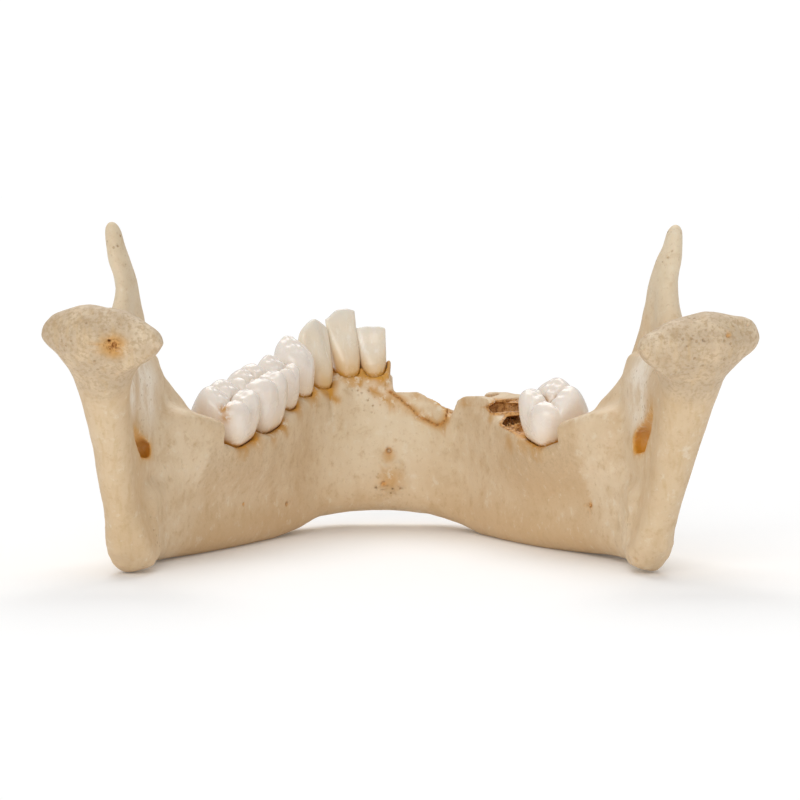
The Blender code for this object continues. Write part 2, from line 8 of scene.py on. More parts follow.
import bmesh
import bpy
import numpy as np
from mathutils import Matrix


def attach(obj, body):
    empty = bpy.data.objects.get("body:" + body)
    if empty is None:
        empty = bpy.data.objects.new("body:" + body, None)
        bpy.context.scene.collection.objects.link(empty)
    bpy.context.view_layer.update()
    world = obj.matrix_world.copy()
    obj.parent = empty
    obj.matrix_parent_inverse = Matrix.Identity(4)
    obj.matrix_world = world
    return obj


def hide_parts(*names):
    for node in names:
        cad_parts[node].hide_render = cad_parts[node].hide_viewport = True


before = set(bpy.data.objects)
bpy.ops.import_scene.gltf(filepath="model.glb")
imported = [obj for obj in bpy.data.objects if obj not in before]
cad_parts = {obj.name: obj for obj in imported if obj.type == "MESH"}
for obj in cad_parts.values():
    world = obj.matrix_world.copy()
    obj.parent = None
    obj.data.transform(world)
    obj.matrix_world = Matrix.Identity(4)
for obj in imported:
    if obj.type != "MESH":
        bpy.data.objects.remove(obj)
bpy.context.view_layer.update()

import openvdb
from mathutils import Matrix, Vector

# Front teeth of the left side: two incisors and the canine.
# A translucent enamel crown with a chisel edge over a long single dentine root;
# each is held by its own socket. They are the tallest teeth left in the row.
MM = 0.001
ZERO_POINT = Vector((-1.811, -25.865, 0.0))
TOOTH_CELL = 0.16
TOOTH_FACES = 16000

# name, X, Y and Z at the neck, row heading, lean inwards and forwards in degrees,
# crown width along the row, width across, crown height, root length
INCISORS = (
    ("left_central_incisor", -3.25, 71.4, 29.5, 6.0, 2.0, -5.0, 5.8, 5.8, 8.5, 9.9),
    ("left_lateral_incisor", -8.4, 70.3, 29.5, 22.0, 2.0, -7.0, 6.1, 6.0, 11.8, 9.9),
)
CANINE = ("left_canine", -14.3, 66.6, 27.5, 43.0, 4.0, -3.0, 7.0, 7.2, 12.2, 10.1)

# Outlines from the root's end (-1) over the neck (0) to the crown's edge (1):
# half width along the row, front and back, as shares of half the tooth's size
FRONT_LEVELS = (-1.0, -0.6, -0.06, 0.02, 0.18, 0.38, 0.62, 0.86, 1.0)
INCISOR_SIDES = ((0.26, 0.50, 0.74, 0.79, 0.86, 0.91, 0.95, 0.99, 1.0),
                 (0.30, 0.72, 0.92, 0.97, 0.98, 0.84, 0.62, 0.40, 0.30),
                 (-0.30, -0.74, -0.90, -0.96, -1.0, -0.78, -0.42, -0.14, -0.04))
CANINE_SIDES = ((0.26, 0.54, 0.74, 0.80, 0.90, 0.98, 1.0, 0.92, 0.80),
                (0.28, 0.70, 0.92, 0.97, 1.0, 0.92, 0.72, 0.42, 0.22),
                (-0.28, -0.72, -0.90, -0.97, -1.0, -0.78, -0.48, -0.20, -0.06))


def smooth_min(first, second, blend):
    """Two bodies joined with a fillet."""
    share = np.clip(0.5 + 0.5 * (second - first) / blend, 0.0, 1.0)
    return second + (first - second) * share - blend * share * (1.0 - share)


def smooth_max(first, second, blend):
    """What two bodies share, with a rounded edge."""
    return -smooth_min(-first, -second, blend)


def smooth_step(value):
    value = np.clip(value, 0.0, 1.0)
    return value * value * (3.0 - 2.0 * value)


def hill(value, middle, width):
    return np.exp(-((value - middle) / width) ** 2)


def outline(level, stations, values):
    """A smooth tooth outline read at any level from its few stations."""
    fine = np.linspace(-1.2, 1.2, 241)
    kernel = np.hanning(19)
    line = np.convolve(np.pad(np.interp(fine, stations, values), 9, mode="edge"),
                       kernel / kernel.sum(), "valid")
    return np.interp(level, fine, line)


def tooth_wall(along, out, half_along, front, back, power):
    """Sides of a tooth between its front and back face, negative inside."""
    middle = 0.5 * (front + back)
    half = 0.5 * (front - back)
    reach = (np.abs(along / half_along) ** power
             + np.abs((out - middle) / half) ** power) ** (1.0 / power)
    return (reach - 1.0) * np.minimum(half_along, half)


def tooth_sides(entry, up, stations, sides):
    """Level up the tooth, half its width there, and where its front and back lie."""
    width, depth, height, root = entry[7:11]
    level = np.clip(np.where(up > 0.0, up / height, up / root), -1.15, 1.15)
    half_along, front, back = (0.5 * size * outline(level, stations, values)
                               for size, values in zip((width, depth, depth), sides))
    return level, half_along, front, back


def incisor_body(entry, along, out, up):
    """Chisel-shaped tooth with a hollow between two rims on the tongue side."""
    width, _, height, root = entry[7:11]
    level, half_along, front, back = tooth_sides(entry, up, FRONT_LEVELS, INCISOR_SIDES)
    front = front - 0.28 * np.clip(along / half_along, -1.1, 1.1) ** 2
    back = back + 0.38 * hill(along, 0.0, 0.42 * width) * hill(level, 0.64, 0.28)
    wall = tooth_wall(along, out, half_along, front, back, 2.5)
    if "lateral" in entry[0]:
        edge = up - height + 1.1 * smooth_step((-along - 0.2) / 2.4) \
            + 0.25 * smooth_step((along - 1.4) / 1.4)
    else:
        edge = up - height + 0.07 * along + 0.04 * np.sin(2.6 * along)
    body = smooth_max(wall, edge, 0.55)
    return smooth_max(body, -root - up, 1.2)


def canine_body(entry, along, out, up):
    """Spear-shaped tooth with one blunt point and a low ridge behind it."""
    width, _, height, root = entry[7:11]
    level, half_along, front, back = tooth_sides(entry, up, FRONT_LEVELS, CANINE_SIDES)
    front = front - 0.35 * np.clip(along / half_along, -1.1, 1.1) ** 2
    beside = hill(np.abs(along), 0.26 * width, 0.15 * width)
    back = back + 0.36 * beside * hill(level, 0.62, 0.26)
    wall = tooth_wall(along, out, half_along, front, back, 2.3)
    slope = np.where(along > 0.0, 0.62, 0.86)
    edge = up - height + slope * (np.sqrt(along ** 2 + 0.5) - 0.7)
    body = smooth_max(wall, edge * 0.84, 0.8)
    return smooth_max(body, -root - up, 1.2)


def tooth_axes(entry):
    """Unit axes of a tooth: along the row, outwards, and up its long axis."""
    heading, lean, tip = (math.radians(value) for value in entry[4:7])
    side = -1.0 if entry[1] < 0.0 else 1.0
    row = Vector((math.cos(heading), math.sin(heading), 0.0))
    out = Vector((side * row.y, -side * row.x, 0.0))
    axis = Vector((0.0, 0.0, math.cos(lean))) - out * math.sin(lean)
    out = out * math.cos(lean) + Vector((0.0, 0.0, math.sin(lean)))
    return row * math.cos(tip) - axis * math.sin(tip), out, \
        axis * math.cos(tip) + row * math.sin(tip)


def in_tooth_axes(entry, x, y, z):
    """Jaw coordinates as distances along, out of and up a tooth."""
    return [(x - entry[1]) * axis.x + (y - entry[2]) * axis.y + (z - entry[3]) * axis.z
            for axis in tooth_axes(entry)]


def true_distance(field, cell):
    """Evens out a field so that it reads as a distance near its skin."""
    slopes = np.gradient(field, cell)
    steep = np.sqrt(slopes[0] ** 2 + slopes[1] ** 2 + slopes[2] ** 2)
    return field / np.clip(steep, 0.3, 4.0)


def put(name, data):
    """Adds an object to the scene."""
    made = bpy.data.objects.new(name, data)
    bpy.context.scene.collection.objects.link(made)
    return made


def skin_of(name, field, low, cell, faces):
    """Mesh of the skin of a solid, from distances on a block of points in mm."""
    volume = openvdb.FloatGrid(background=2.0)
    volume.copyFromArray(np.clip(field, -2.0, 2.0).astype(np.float32))
    points, quads = volume.convertToQuads(isovalue=0.0)
    points = np.asarray(points, dtype=np.float32) * cell + np.asarray(low, dtype=np.float32)
    quads = np.asarray(quads, dtype=np.int32)
    mesh = bpy.data.meshes.new(name)
    mesh.vertices.add(len(points))
    mesh.vertices.foreach_set("co", points.ravel())
    mesh.loops.add(quads.size)
    mesh.loops.foreach_set("vertex_index", quads.ravel())
    mesh.polygons.add(len(quads))
    mesh.polygons.foreach_set("loop_start", np.arange(0, quads.size, 4, dtype=np.int32))
    mesh.update()
    mesh.validate()
    piece = put(name, mesh)
    thin = piece.modifiers.new("fewer_faces", "DECIMATE")
    thin.ratio = min(1.0, faces / (2.0 * len(quads)))
    thin.use_collapse_triangulate = True
    graph = bpy.context.evaluated_depsgraph_get()
    graph.update()
    finished = bpy.data.meshes.new_from_object(piece.evaluated_get(graph))
    piece.modifiers.clear()
    piece.data = finished
    bpy.data.meshes.remove(mesh)
    finished.name = name
    keep_main_shell(finished)
    return piece


def keep_main_shell(mesh):
    """Leaves the largest closed skin and turns its faces outwards."""
    work = bmesh.new()
    work.from_mesh(mesh)
    bmesh.ops.remove_doubles(work, verts=work.verts, dist=1e-4)
    left = set(work.faces)
    shells = []
    while left:
        shell = [left.pop()]
        # The list grows by the neighbours of its faces while it is walked
        for face in shell:
            for edge in face.edges:
                for other in edge.link_faces:
                    if other in left:
                        left.discard(other)
                        shell.append(other)
        shells.append(shell)
    shells.sort(key=len)
    spare = [face for shell in shells[:-1] for face in shell]
    if spare:
        bmesh.ops.delete(work, geom=spare, context="FACES")
    bmesh.ops.recalc_face_normals(work, faces=work.faces)
    work.to_mesh(mesh)
    work.free()
    for polygon in mesh.polygons:
        polygon.use_smooth = True


def vectors_of(mesh, kind):
    """Places ("co") or directions ("normal") of all points of a mesh."""
    values = np.zeros(len(mesh.vertices) * 3, dtype=np.float32)
    mesh.vertices.foreach_get(kind, values)
    return values.reshape(-1, 3).astype(float)


def mark(mesh, name, values):
    """Stores how strongly a stain, a tone, or painted light or shade shows at each point of a
    piece.
    """
    layer = mesh.attributes.new(name, "FLOAT", "POINT")
    layer.data.foreach_set("value", np.clip(values, 0.0, 1.0).astype(np.float32))


def node(tree, kind, **settings):
    made = tree.nodes.new(kind)
    for key, value in settings.items():
        setattr(made, key, value)
    return made


def set_inputs(made, values):
    for key, value in values.items():
        made.inputs[key].default_value = value


def feed(tree, socket, value):
    """Joins a socket to another one, or gives it a number or a colour."""
    if isinstance(value, tuple):
        socket.default_value = (*value, 1.0)
    elif isinstance(value, float):
        socket.default_value = value
    else:
        tree.links.new(value, socket)


def mottle(tree, scale, detail=4.0, rough=0.55, stretch=(1.0, 1.0, 1.0)):
    """Cloudy pattern fixed to the piece, with its scale in patches per metre."""
    place = node(tree, "ShaderNodeTexCoord")
    mapping = node(tree, "ShaderNodeMapping")
    mapping.inputs["Scale"].default_value = stretch
    tree.links.new(place.outputs["Object"], mapping.inputs["Vector"])
    noise = node(tree, "ShaderNodeTexNoise")
    set_inputs(noise, {"Scale": scale, "Detail": detail, "Roughness": rough})
    tree.links.new(mapping.outputs["Vector"], noise.inputs["Vector"])
    return noise.outputs["Fac"]


def ramp(tree, source, low, high, top=1.0):
    """Stretches a pattern from low..high to 0..top."""
    reach = node(tree, "ShaderNodeMapRange", interpolation_type="SMOOTHSTEP")
    set_inputs(reach, {"From Min": low, "From Max": high, "To Max": top})
    tree.links.new(source, reach.inputs["Value"])
    return reach.outputs["Result"]


def calc(tree, operation, first, second):
    made = node(tree, "ShaderNodeMath", operation=operation)
    feed(tree, made.inputs[0], first)
    feed(tree, made.inputs[1], second)
    return made.outputs[0]


def times(tree, first, second):
    return calc(tree, "MULTIPLY", first, second)


def tint(tree, share, base, colour):
    """Base colour with another laid over it, as strongly as share says."""
    mix = node(tree, "ShaderNodeMix", data_type="RGBA")
    for place, value in ((0, share), (6, base), (7, colour)):
        feed(tree, mix.inputs[place], value)
    return mix.outputs[2]


def marked(tree, name):
    return node(tree, "ShaderNodeAttribute", attribute_name=name).outputs["Fac"]


def on_mark(tree, name, pattern, low, high, top=1.0):
    """Strength of a marked tone, broken up by a pattern."""
    return times(tree, marked(tree, name), ramp(tree, pattern, low, high, top))


def new_material(name):
    """A material, with the tree and the shader that its look is built on."""
    material = bpy.data.materials.new(name)
    material.use_nodes = True
    return material, material.node_tree, material.node_tree.nodes["Principled BSDF"]


def finish_surface(tree, colour, rough, relief, strength, height):
    """Gives the shader its colour, its gloss and a relief of a height in metres."""
    shader = tree.nodes["Principled BSDF"]
    bump = node(tree, "ShaderNodeBump")
    set_inputs(bump, {"Strength": strength, "Distance": height})
    tree.links.new(relief, bump.inputs["Height"])
    for source, name in ((colour, "Base Color"), (rough, "Roughness"),
                         (bump.outputs["Normal"], "Normal")):
        tree.links.new(source, shader.inputs[name])


def enamel(name, crown, neck, edge):
    """Glossy tooth enamel over yellow dentine, stained in its grooves."""
    material, tree, shader = new_material(name)
    cloud = mottle(tree, 420.0, 3.0)
    streaks = mottle(tree, 900.0, 3.0, 0.6, (1.0, 1.0, 0.16))
    colour = tint(tree, ramp(tree, cloud, 0.35, 0.7, 0.55), crown,
                  tuple(0.9 * value for value in crown))
    for share, tone in (
            (ramp(tree, streaks, 0.5, 0.7, 0.5), (0.94, 0.89, 0.82)),
            (marked(tree, "neck"), neck),
            (marked(tree, "edge"), edge),
            (marked(tree, "root"), (0.56, 0.37, 0.17)),
            (on_mark(tree, "stain", mottle(tree, 1500.0, 4.0, 0.7), 0.34, 0.5),
             (0.58, 0.29, 0.05)),
            (marked(tree, "groove"), (0.42, 0.24, 0.10))):
        colour = tint(tree, share, colour, tone)
    rough = calc(tree, "ADD", 0.16, times(tree, 0.2, cloud))
    rough = calc(tree, "ADD", rough, times(tree, 0.35, marked(tree, "root")))
    lines = calc(tree, "ADD", times(tree, 0.7, streaks),
                 times(tree, 0.3, mottle(tree, 2600.0, 3.0)))
    finish_surface(tree, colour, rough, lines, 0.35, 0.00012)
    set_inputs(shader, {"Subsurface Weight": 0.2, "Subsurface Radius": (1.0, 0.72, 0.5),
                        "Subsurface Scale": 0.0012, "Coat Weight": 0.35,
                        "Coat Roughness": 0.12})
    return material


def set_tooth(entry, body, material, grooves=None, spots=()):
    """Makes one tooth, puts it in its socket and marks its neck, edge and stains."""
    name, height, root = entry[0], entry[9], entry[10]
    wide = 0.5 * entry[7] + 1.4
    deep = 0.5 * entry[8] + 1.6
    low = (-wide, -deep, -root - 1.0)
    high = (wide, deep, height + 1.0)
    field = body(entry, *np.ix_(*(np.arange(first, last, TOOTH_CELL)
                                  for first, last in zip(low, high))))
    piece = skin_of(name + "_crown", field, low, TOOTH_CELL, TOOTH_FACES)
    along, out, up = vectors_of(piece.data, "co").T
    scallop = 0.9 * ((2.0 * out / entry[8]) ** 2 - (2.0 * along / entry[7]) ** 2)
    over_neck = up + 0.9 + np.clip(scallop, -0.9, 0.9)
    mark(piece.data, "root", 1.0 - smooth_step((over_neck + 0.5) / 0.5))
    mark(piece.data, "neck", 1.0 - smooth_step((over_neck - 0.6) / (0.62 * height)))
    mark(piece.data, "edge", smooth_step((up - 0.72 * height) / (0.3 * height)))
    mark(piece.data, "groove", grooves(entry, along, out, up) if grooves else 0.0 * up)
    stain = 1.0 - smooth_step((over_neck - (1.0 if grooves else 1.1)) / 0.9)
    for spot_along, spot_out, spot_up, size in spots:
        away = (along - spot_along) ** 2 + (out - spot_out) ** 2 + (up - spot_up) ** 2
        stain = np.maximum(stain, np.exp(-away / size ** 2))
    mark(piece.data, "stain", stain)
    row, out_axis, axis = tooth_axes(entry)
    turn = Matrix((row, out_axis, axis)).transposed().to_4x4()
    neck = Vector((entry[1], entry[2], entry[3])) + ZERO_POINT
    piece.data.transform(Matrix.Scale(MM, 4) @ Matrix.Translation(neck) @ turn)
    if turn.determinant() < 0.0:
        piece.data.flip_normals()
    piece.data.materials.append(material)
    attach(piece, "root")
    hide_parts(name)


front_enamel = enamel("front_tooth_enamel", (0.85, 0.75, 0.60), (0.72, 0.48, 0.22),
                      (0.78, 0.73, 0.64))
for entry in INCISORS:
    set_tooth(entry, incisor_body, front_enamel)
set_tooth(CANINE, canine_body, front_enamel)

# Premolars and molars: five of the left side, one second molar of the right.
# Enamel crowns with rounded cusps round a grooved chewing face, on one root
# (premolars) or two flat roots (molars). They lean towards the tongue.
CHEWING_TEETH = (
    ("left_first_premolar", -18.0, 60.2, 26.4, 60.8, 4.0, -7.0, 7.0, 7.6, 10.4, 9.0),
    ("left_second_premolar", -21.2, 53.4, 24.8, 67.4, 9.0, -10.0, 7.2, 8.6, 8.9, 9.0),
    ("left_first_molar", -25.4, 44.4, 22.2, 68.5, 15.0, -12.0, 11.2, 11.0, 10.0, 9.0),
    ("left_second_molar", -29.9, 33.6, 20.9, 69.4, 16.0, -12.0, 11.0, 11.2, 9.0, 8.5),
    ("right_second_molar", 29.6, 33.6, 20.9, 112.8, 16.0, -12.0, 11.0, 11.2, 9.2, 8.5),
)

# Cusps of each: place along and out as shares of the widths, and drop below the top
CUSPS = {
    "left_first_premolar": ((0.04, 0.22, 0.0), (0.08, -0.30, 3.0)),
    "left_second_premolar": ((0.02, 0.26, 0.0), (0.20, -0.30, 1.2), (-0.20, -0.29, 1.6)),
    "left_first_molar": ((0.25, 0.25, 0.3), (-0.09, 0.27, 0.4), (-0.36, 0.14, 1.0),
                         (0.22, -0.27, 0.2), (-0.24, -0.26, 0.3)),
    "left_second_molar": ((0.22, 0.27, 0.2), (-0.22, 0.28, 0.2), (0.22, -0.29, 0.5),
                          (-0.22, -0.28, 1.3)),
    "right_second_molar": ((0.20, 0.27, 0.0), (-0.20, 0.28, 0.5), (0.24, -0.29, 0.6),
                           (-0.22, -0.28, 1.7)),
}
PREMOLAR_STEEPNESS, MOLAR_STEEPNESS = 0.85, 0.58
CHEWING_LEVELS = (-1.0, -0.5, -0.06, 0.03, 0.2, 0.42, 0.66, 0.85, 1.0)
CHEWING_SIDES = ((0.34, 0.60, 0.84, 0.90, 0.96, 1.0, 1.0, 0.97, 0.90),
                 (0.30, 0.62, 0.86, 0.94, 1.0, 1.0, 0.90, 0.78, 0.66),
                 (-0.30, -0.62, -0.84, -0.93, -1.0, -1.02, -0.98, -0.90, -0.78))


def chewing_face(entry, along, out):
    """Height of the chewing face below the top, and how close a groove runs."""
    width, depth = entry[7:9]
    reaches = []
    steepness = PREMOLAR_STEEPNESS if "premolar" in entry[0] else MOLAR_STEEPNESS
    for share_along, share_out, drop in CUSPS[entry[0]]:
        away = np.sqrt((along - share_along * width) ** 2
                       + (out - share_out * depth) ** 2 + 1.7) - 1.3
        reaches.append(drop + steepness * away)
    reaches = np.sort(np.stack(np.broadcast_arrays(*reaches)), axis=0)
    apart = reaches[1] - reaches[0]
    inner = smooth_step(1.25 - 2.3 * np.sqrt((along / width) ** 2 + (out / depth) ** 2))
    groove = hill(apart, 0.0, 0.26) * (0.25 + 0.75 * inner)
    fine = 0.17 * np.sin(3.1 * along + 1.3 * out) * np.sin(2.7 * out - 0.8 * along)
    return reaches[0] + 0.75 * groove + fine * inner, groove * inner


def chewing_body(entry, along, out, up):
    """Crown with cusps and grooves, on one or two roots."""
    width, depth, height, root = entry[7:11]
    molar = "premolar" not in entry[0]
    level, half_along, cheek, tongue = tooth_sides(entry, up, CHEWING_LEVELS, CHEWING_SIDES)
    if molar:
        lobe = hill(along, -0.02 * width, 0.09 * width) * smooth_step((level - 0.3) / 0.5)
        tongue = tongue + 0.4 * lobe
        cheek = cheek - 0.5 * lobe
    wall = tooth_wall(along, out, half_along, cheek, tongue, 3.0 if molar else 2.4)
    drop, _ = chewing_face(entry, along, out)
    body = smooth_max(wall, (up - height + drop) * 0.84, 1.3)
    if not molar:
        return smooth_max(body, -root - up, 1.2)
    body = smooth_max(body, -2.6 - up, 1.5)
    sink = np.clip(-up / root, 0.0, 1.0)
    taper = 1.0 - 0.4 * sink
    for place in (-0.25, 0.25):
        prong = tooth_wall(along - place * width * (1.0 + 0.1 * sink), out,
                           0.17 * width * taper, 0.37 * depth * taper,
                           -0.37 * depth * taper, 2.2)
        prong = smooth_max(smooth_max(prong, -root - up, 1.2), up - 1.0, 1.0)
        body = smooth_min(body, prong, 0.8)
    return body


def groove_marks(entry, along, out, up):
    drop, groove = chewing_face(entry, along, out)
    on_face = smooth_step((up - entry[9] + drop + 0.5) / 0.3)
    return 0.75 * smooth_step((groove - 0.72) / 0.28) * on_face


# Stained spots: distances along, out of and up the tooth, and size
SPOTS = {"left_second_molar": ((-4.6, -1.6, 6.4, 1.0), (-4.9, -2.4, 5.2, 0.9)),
         "left_first_premolar": ((-0.6, -0.8, 6.6, 0.8),),
         "right_second_molar": ((0.4, -0.2, 6.2, 1.0),)}
chewing_enamel = enamel("chewing_tooth_enamel", (0.88, 0.80, 0.72), (0.84, 0.69, 0.52),
                        (0.88, 0.80, 0.72))
for entry in CHEWING_TEETH:
    set_tooth(entry, chewing_body, chewing_enamel, groove_marks, SPOTS.get(entry[0], ()))

# The bone itself, one dry piece: dense outer layer, spongy inside where it is
# broken. Its form is that of the CAD solid, smoothed; sockets, nerve openings,
# muscle marks, cracks and pores are worked into it, as growth and burial left them.
BONE_CELL = 0.25
BONE_FACES = 190000

# Cells left free around the bone, and how many from its skin distances are kept
RIM = 12
BAND = 8.0
BLUR_REACH = 2
FAR = 1e9
SOCKET_PITS, WINDOW_PITS = 60, 170
random = np.random.default_rng(11)

bone_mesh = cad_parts["jawbone"].data
work = bmesh.new()
work.from_mesh(bone_mesh)
bmesh.ops.remove_doubles(work, verts=work.verts, dist=1e-6)
bmesh.ops.triangulate(work, faces=work.faces)
work.verts.index_update()
solid = np.array([vert.co[:] for vert in work.verts]) / MM - np.array(ZERO_POINT)
triangles = np.array([[vert.index for vert in face.verts] for face in work.faces])
work.free()
bone_low = solid.min(axis=0) - RIM * BONE_CELL
level_set = openvdb.FloatGrid.createLevelSetFromPolygons(
    ((solid - bone_low) / BONE_CELL).astype(np.float32),
    triangles=triangles.astype(np.int32), halfWidth=BAND)
size = np.ceil((solid.max(axis=0) - bone_low) / BONE_CELL).astype(int) + RIM
bone = np.zeros(tuple(size), dtype=np.float32)
level_set.copyToArray(bone)
bone *= BONE_CELL


def blur(field, reach, passes):
    """Evens out the solid's flat facets."""
    for _ in range(passes):
        for axis in range(3):
            total = field.copy()
            for step in range(1, reach + 1):
                total += np.roll(field, step, axis) + np.roll(field, -step, axis)
            field = total / (2.0 * reach + 1.0)
    return field


def work_in(low, high, tool):
    """Uses a tool on the bone inside a box given in jaw millimetres."""
    spans = []
    lines = []
    for axis in range(3):
        first = max(int((low[axis] - bone_low[axis]) / BONE_CELL), 0)
        last = min(int((high[axis] - bone_low[axis]) / BONE_CELL) + 1, bone.shape[axis])
        spans.append(slice(first, last))
        lines.append(bone_low[axis] + BONE_CELL * np.arange(first, last))
    where = tuple(spans)
    bone[where] = tool(bone[where], *np.ix_(*lines))


def work_round(place, reach, tool):
    work_in([value - reach for value in place], [value + reach for value in place], tool)


def drill(place, radius, depth_scale=1.0):
    """A small round pit or opening."""
    def tool(field, x, y, z):
        away = np.sqrt((x - place[0]) ** 2 + ((y - place[1]) / depth_scale) ** 2
                       + (z - place[2]) ** 2)
        return smooth_max(field, radius - away, 0.12)

    work_round(place, radius * max(depth_scale, 1.0) + 1.0, tool)


def knob(place, radius, blend=0.8):
    """A small round bump that flows into the bone."""
    def tool(field, x, y, z):
        away = np.sqrt((x - place[0]) ** 2 + (y - place[1]) ** 2 + (z - place[2]) ** 2)
        return smooth_min(field, away - radius, blend)

    work_round(place, radius + 2.0, tool)


def bore(stations, blend=0.5):
    """A channel that changes its width: X, Y, Z and radius at each station."""
    stations = np.array(stations, dtype=float)
    low = (stations[:, :3] - stations[:, 3:]).min(axis=0) - 1.5
    high = (stations[:, :3] + stations[:, 3:]).max(axis=0) + 1.5

    def tool(field, x, y, z):
        for start, end in zip(stations[:-1], stations[1:]):
            step = end - start
            share = ((x - start[0]) * step[0] + (y - start[1]) * step[1]
                     + (z - start[2]) * step[2]) / (step[:3] @ step[:3])
            share = np.clip(share, 0.0, 1.0)
            away = np.sqrt((x - start[0] - share * step[0]) ** 2
                           + (y - start[1] - share * step[1]) ** 2
                           + (z - start[2] - share * step[2]) ** 2)
            field = smooth_max(field, start[3] + share * step[3] - away, blend)
        return field

    work_in(low, high, tool)


def gouge(points, radius, blend=0.5):
    """A channel of one width along a row of points."""
    bore([(*point, radius) for point in points], blend)


def ease(low, high, reach):
    """Fills a fold so that one face runs softly into the next."""
    def tool(field, x, y, z):
        wide = blur(field, int(round(reach / BONE_CELL)), 3)
        inside = np.minimum(np.minimum(x - low[0], high[0] - x),
                            np.minimum(y - low[1], high[1] - y))
        inside = np.minimum(inside, np.minimum(z - low[2], high[2] - z)) - 1.2 * reach
        return np.minimum(field, wide + 3.0 * (1.0 - smooth_step(inside / 2.5)))

    work_in(low, high, tool)


# The sockets are filled while the surface is evened out, then cut again
TEETH = [(entry, incisor_body) for entry in INCISORS] + [(CANINE, canine_body)] \
    + [(entry, chewing_body) for entry in CHEWING_TEETH]
SOCKET_GAP = 0.12
TOOTH_REACH = 9.5

# X, Y and Z at the rim, width along the row, width across, depth, row heading
EMPTY_SOCKETS = (
    (3.4, 71.8, 27.0, 3.4, 4.6, 7.0, 173.8),
    (8.8, 70.0, 26.0, 3.8, 4.8, 7.0, 150.9),
    (13.4, 66.2, 25.6, 4.4, 5.6, 9.0, 133.2),
    (17.4, 60.2, 26.0, 4.2, 5.4, 8.0, 118.8),
    (20.8, 53.4, 25.6, 4.2, 5.8, 8.0, 113.3),
    (25.0, 47.8, 24.6, 3.2, 5.2, 7.0, 112.3),
    (27.8, 42.0, 23.4, 3.2, 5.0, 7.0, 112.6),
)


def tooth_box(entry):
    return ((entry[1] - TOOTH_REACH, entry[2] - TOOTH_REACH, entry[3] - entry[10] - 1.5),
            (entry[1] + TOOTH_REACH, entry[2] + TOOTH_REACH, entry[3] + entry[9] + 1.5))


def socket_box(place, above):
    sx, sy, top, deep = place[0], place[1], place[2], place[5]
    return (sx - 8.0, sy - 8.0, top - deep - 3.0), (sx + 8.0, sy + 8.0, top + above)


def empty_socket(place, x, y, z, spare):
    """A socket whose tooth is gone; spare widens it."""
    sx, sy, top, width, depth, deep, heading = place
    along, out, up = in_tooth_axes((None, sx, sy, top, heading, 6.0, 0.0), x, y, z)
    taper = 1.0 - 0.3 * np.clip(-up / deep, 0.0, 1.0)
    wall = tooth_wall(along, out, 0.5 * width * taper + spare,
                      0.5 * depth * taper + spare, -0.5 * depth * taper - spare, 2.2)
    return smooth_max(wall, -deep - up, 1.5), up


for entry, body in TEETH:
    molar = entry in CHEWING_TEETH[2:]

    def fill(field, x, y, z):
        along, out, up = in_tooth_axes(entry, x, y, z)
        shape = true_distance(body(entry, along, out, up), BONE_CELL)
        beside = np.clip((2.0 * along / entry[7]) ** 2 - (2.0 * out / entry[8]) ** 2, -0.5, 1.0)
        if molar:
            margin = -0.2 + 0.5 * beside
        elif "incisor" in entry[0]:
            margin = 0.3 + 1.9 * beside
        else:
            margin = 0.1 + 1.2 * beside
        floor = margin + 0.2 + (0.35 * np.clip(shape, 0.0, 9.0) if molar else 0.0)
        field = smooth_max(field, -np.maximum(shape - (3.8 if molar else 1.4), floor - up), 0.6)
        ring = smooth_max(shape - 0.9, up - margin, 0.5)
        return smooth_min(field, np.maximum(ring, -entry[10] - 0.5 - up), 0.5)

    work_in(*tooth_box(entry), fill)

# The solid's two sockets of the right first molar lie a little off those shown
SOLID_SOCKETS = EMPTY_SOCKETS[:5] + ((23.6, 47.0, 24.6, 3.4, 7.4, 7.0, 112.3),
                                     (26.4, 41.2, 23.4, 3.4, 7.0, 7.0, 112.6))
for place in SOLID_SOCKETS:
    def fill(field, x, y, z):
        wall, up = empty_socket(place, x, y, z, 0.5)
        return np.minimum(field, np.maximum(wall, up + 0.2))

    work_in(*socket_box(place, 2.0), fill)

# Evened out, then sharpened again by what a second pass would take away
smooth = blur(bone, BLUR_REACH, 3)
bone = 2.0 * smooth - blur(smooth, BLUR_REACH, 3)


def lean_face(side, wide):
    """Gives the ramus an inner face that leans towards the tongue at the front."""
    def tool(field, x, y, z):
        low_face = np.interp(y, (-14.0, -10.0, -2.0, 2.0, 6.0, 10.0, 16.0),
                             (43.4, 42.7, 41.7, 41.1, 40.5, 39.7, 37.6))
        high_face = np.interp(y, (-14.0, -6.0, 2.0, 8.0, 14.0, 18.0),
                              (43.0, 42.5, 41.6, 40.7, 39.5, 38.6))
        level = smooth_step((z - 20.0) / 8.0)
        face = wide + low_face + (high_face - low_face) * level
        window = smooth_step((z - 11.0) / 7.0) * smooth_step((39.0 - z) / 8.0)
        rear = np.interp(z, (12.0, 16.0, 20.0, 24.0, 28.0, 32.0),
                         (-7.0, -10.0, -12.0, -14.5, -17.0, -19.0))
        window = window * smooth_step((y - rear - 1.5) / 6.0) * smooth_step((22.0 - y) / 6.0)
        face = face + 2.2 * (1.0 - window)
        slab = np.maximum(face - side * x, side * x - face - 1.6)
        fading = slab + 4.0 * (1.0 - smooth_step(window / 0.4))
        return np.where(window > 0.03, smooth_min(field, fading, 1.0), field)

    first, last = sorted((side * 34.0, side * 50.0))
    work_in((first, -17.0, 10.0), (last, 23.0, 40.0), tool)


# Sign of X of each side, and how much further out its inner face stands
SIDES = ((-1.0, 0.0), (1.0, 0.9))
for side, wide in SIDES:
    lean_face(side, wide)
ease((-54.0, -27.0, -3.5), (-31.0, 16.0, 43.0), 2.0)
ease((32.0, -27.0, -3.5), (55.0, 16.0, 42.0), 2.0)


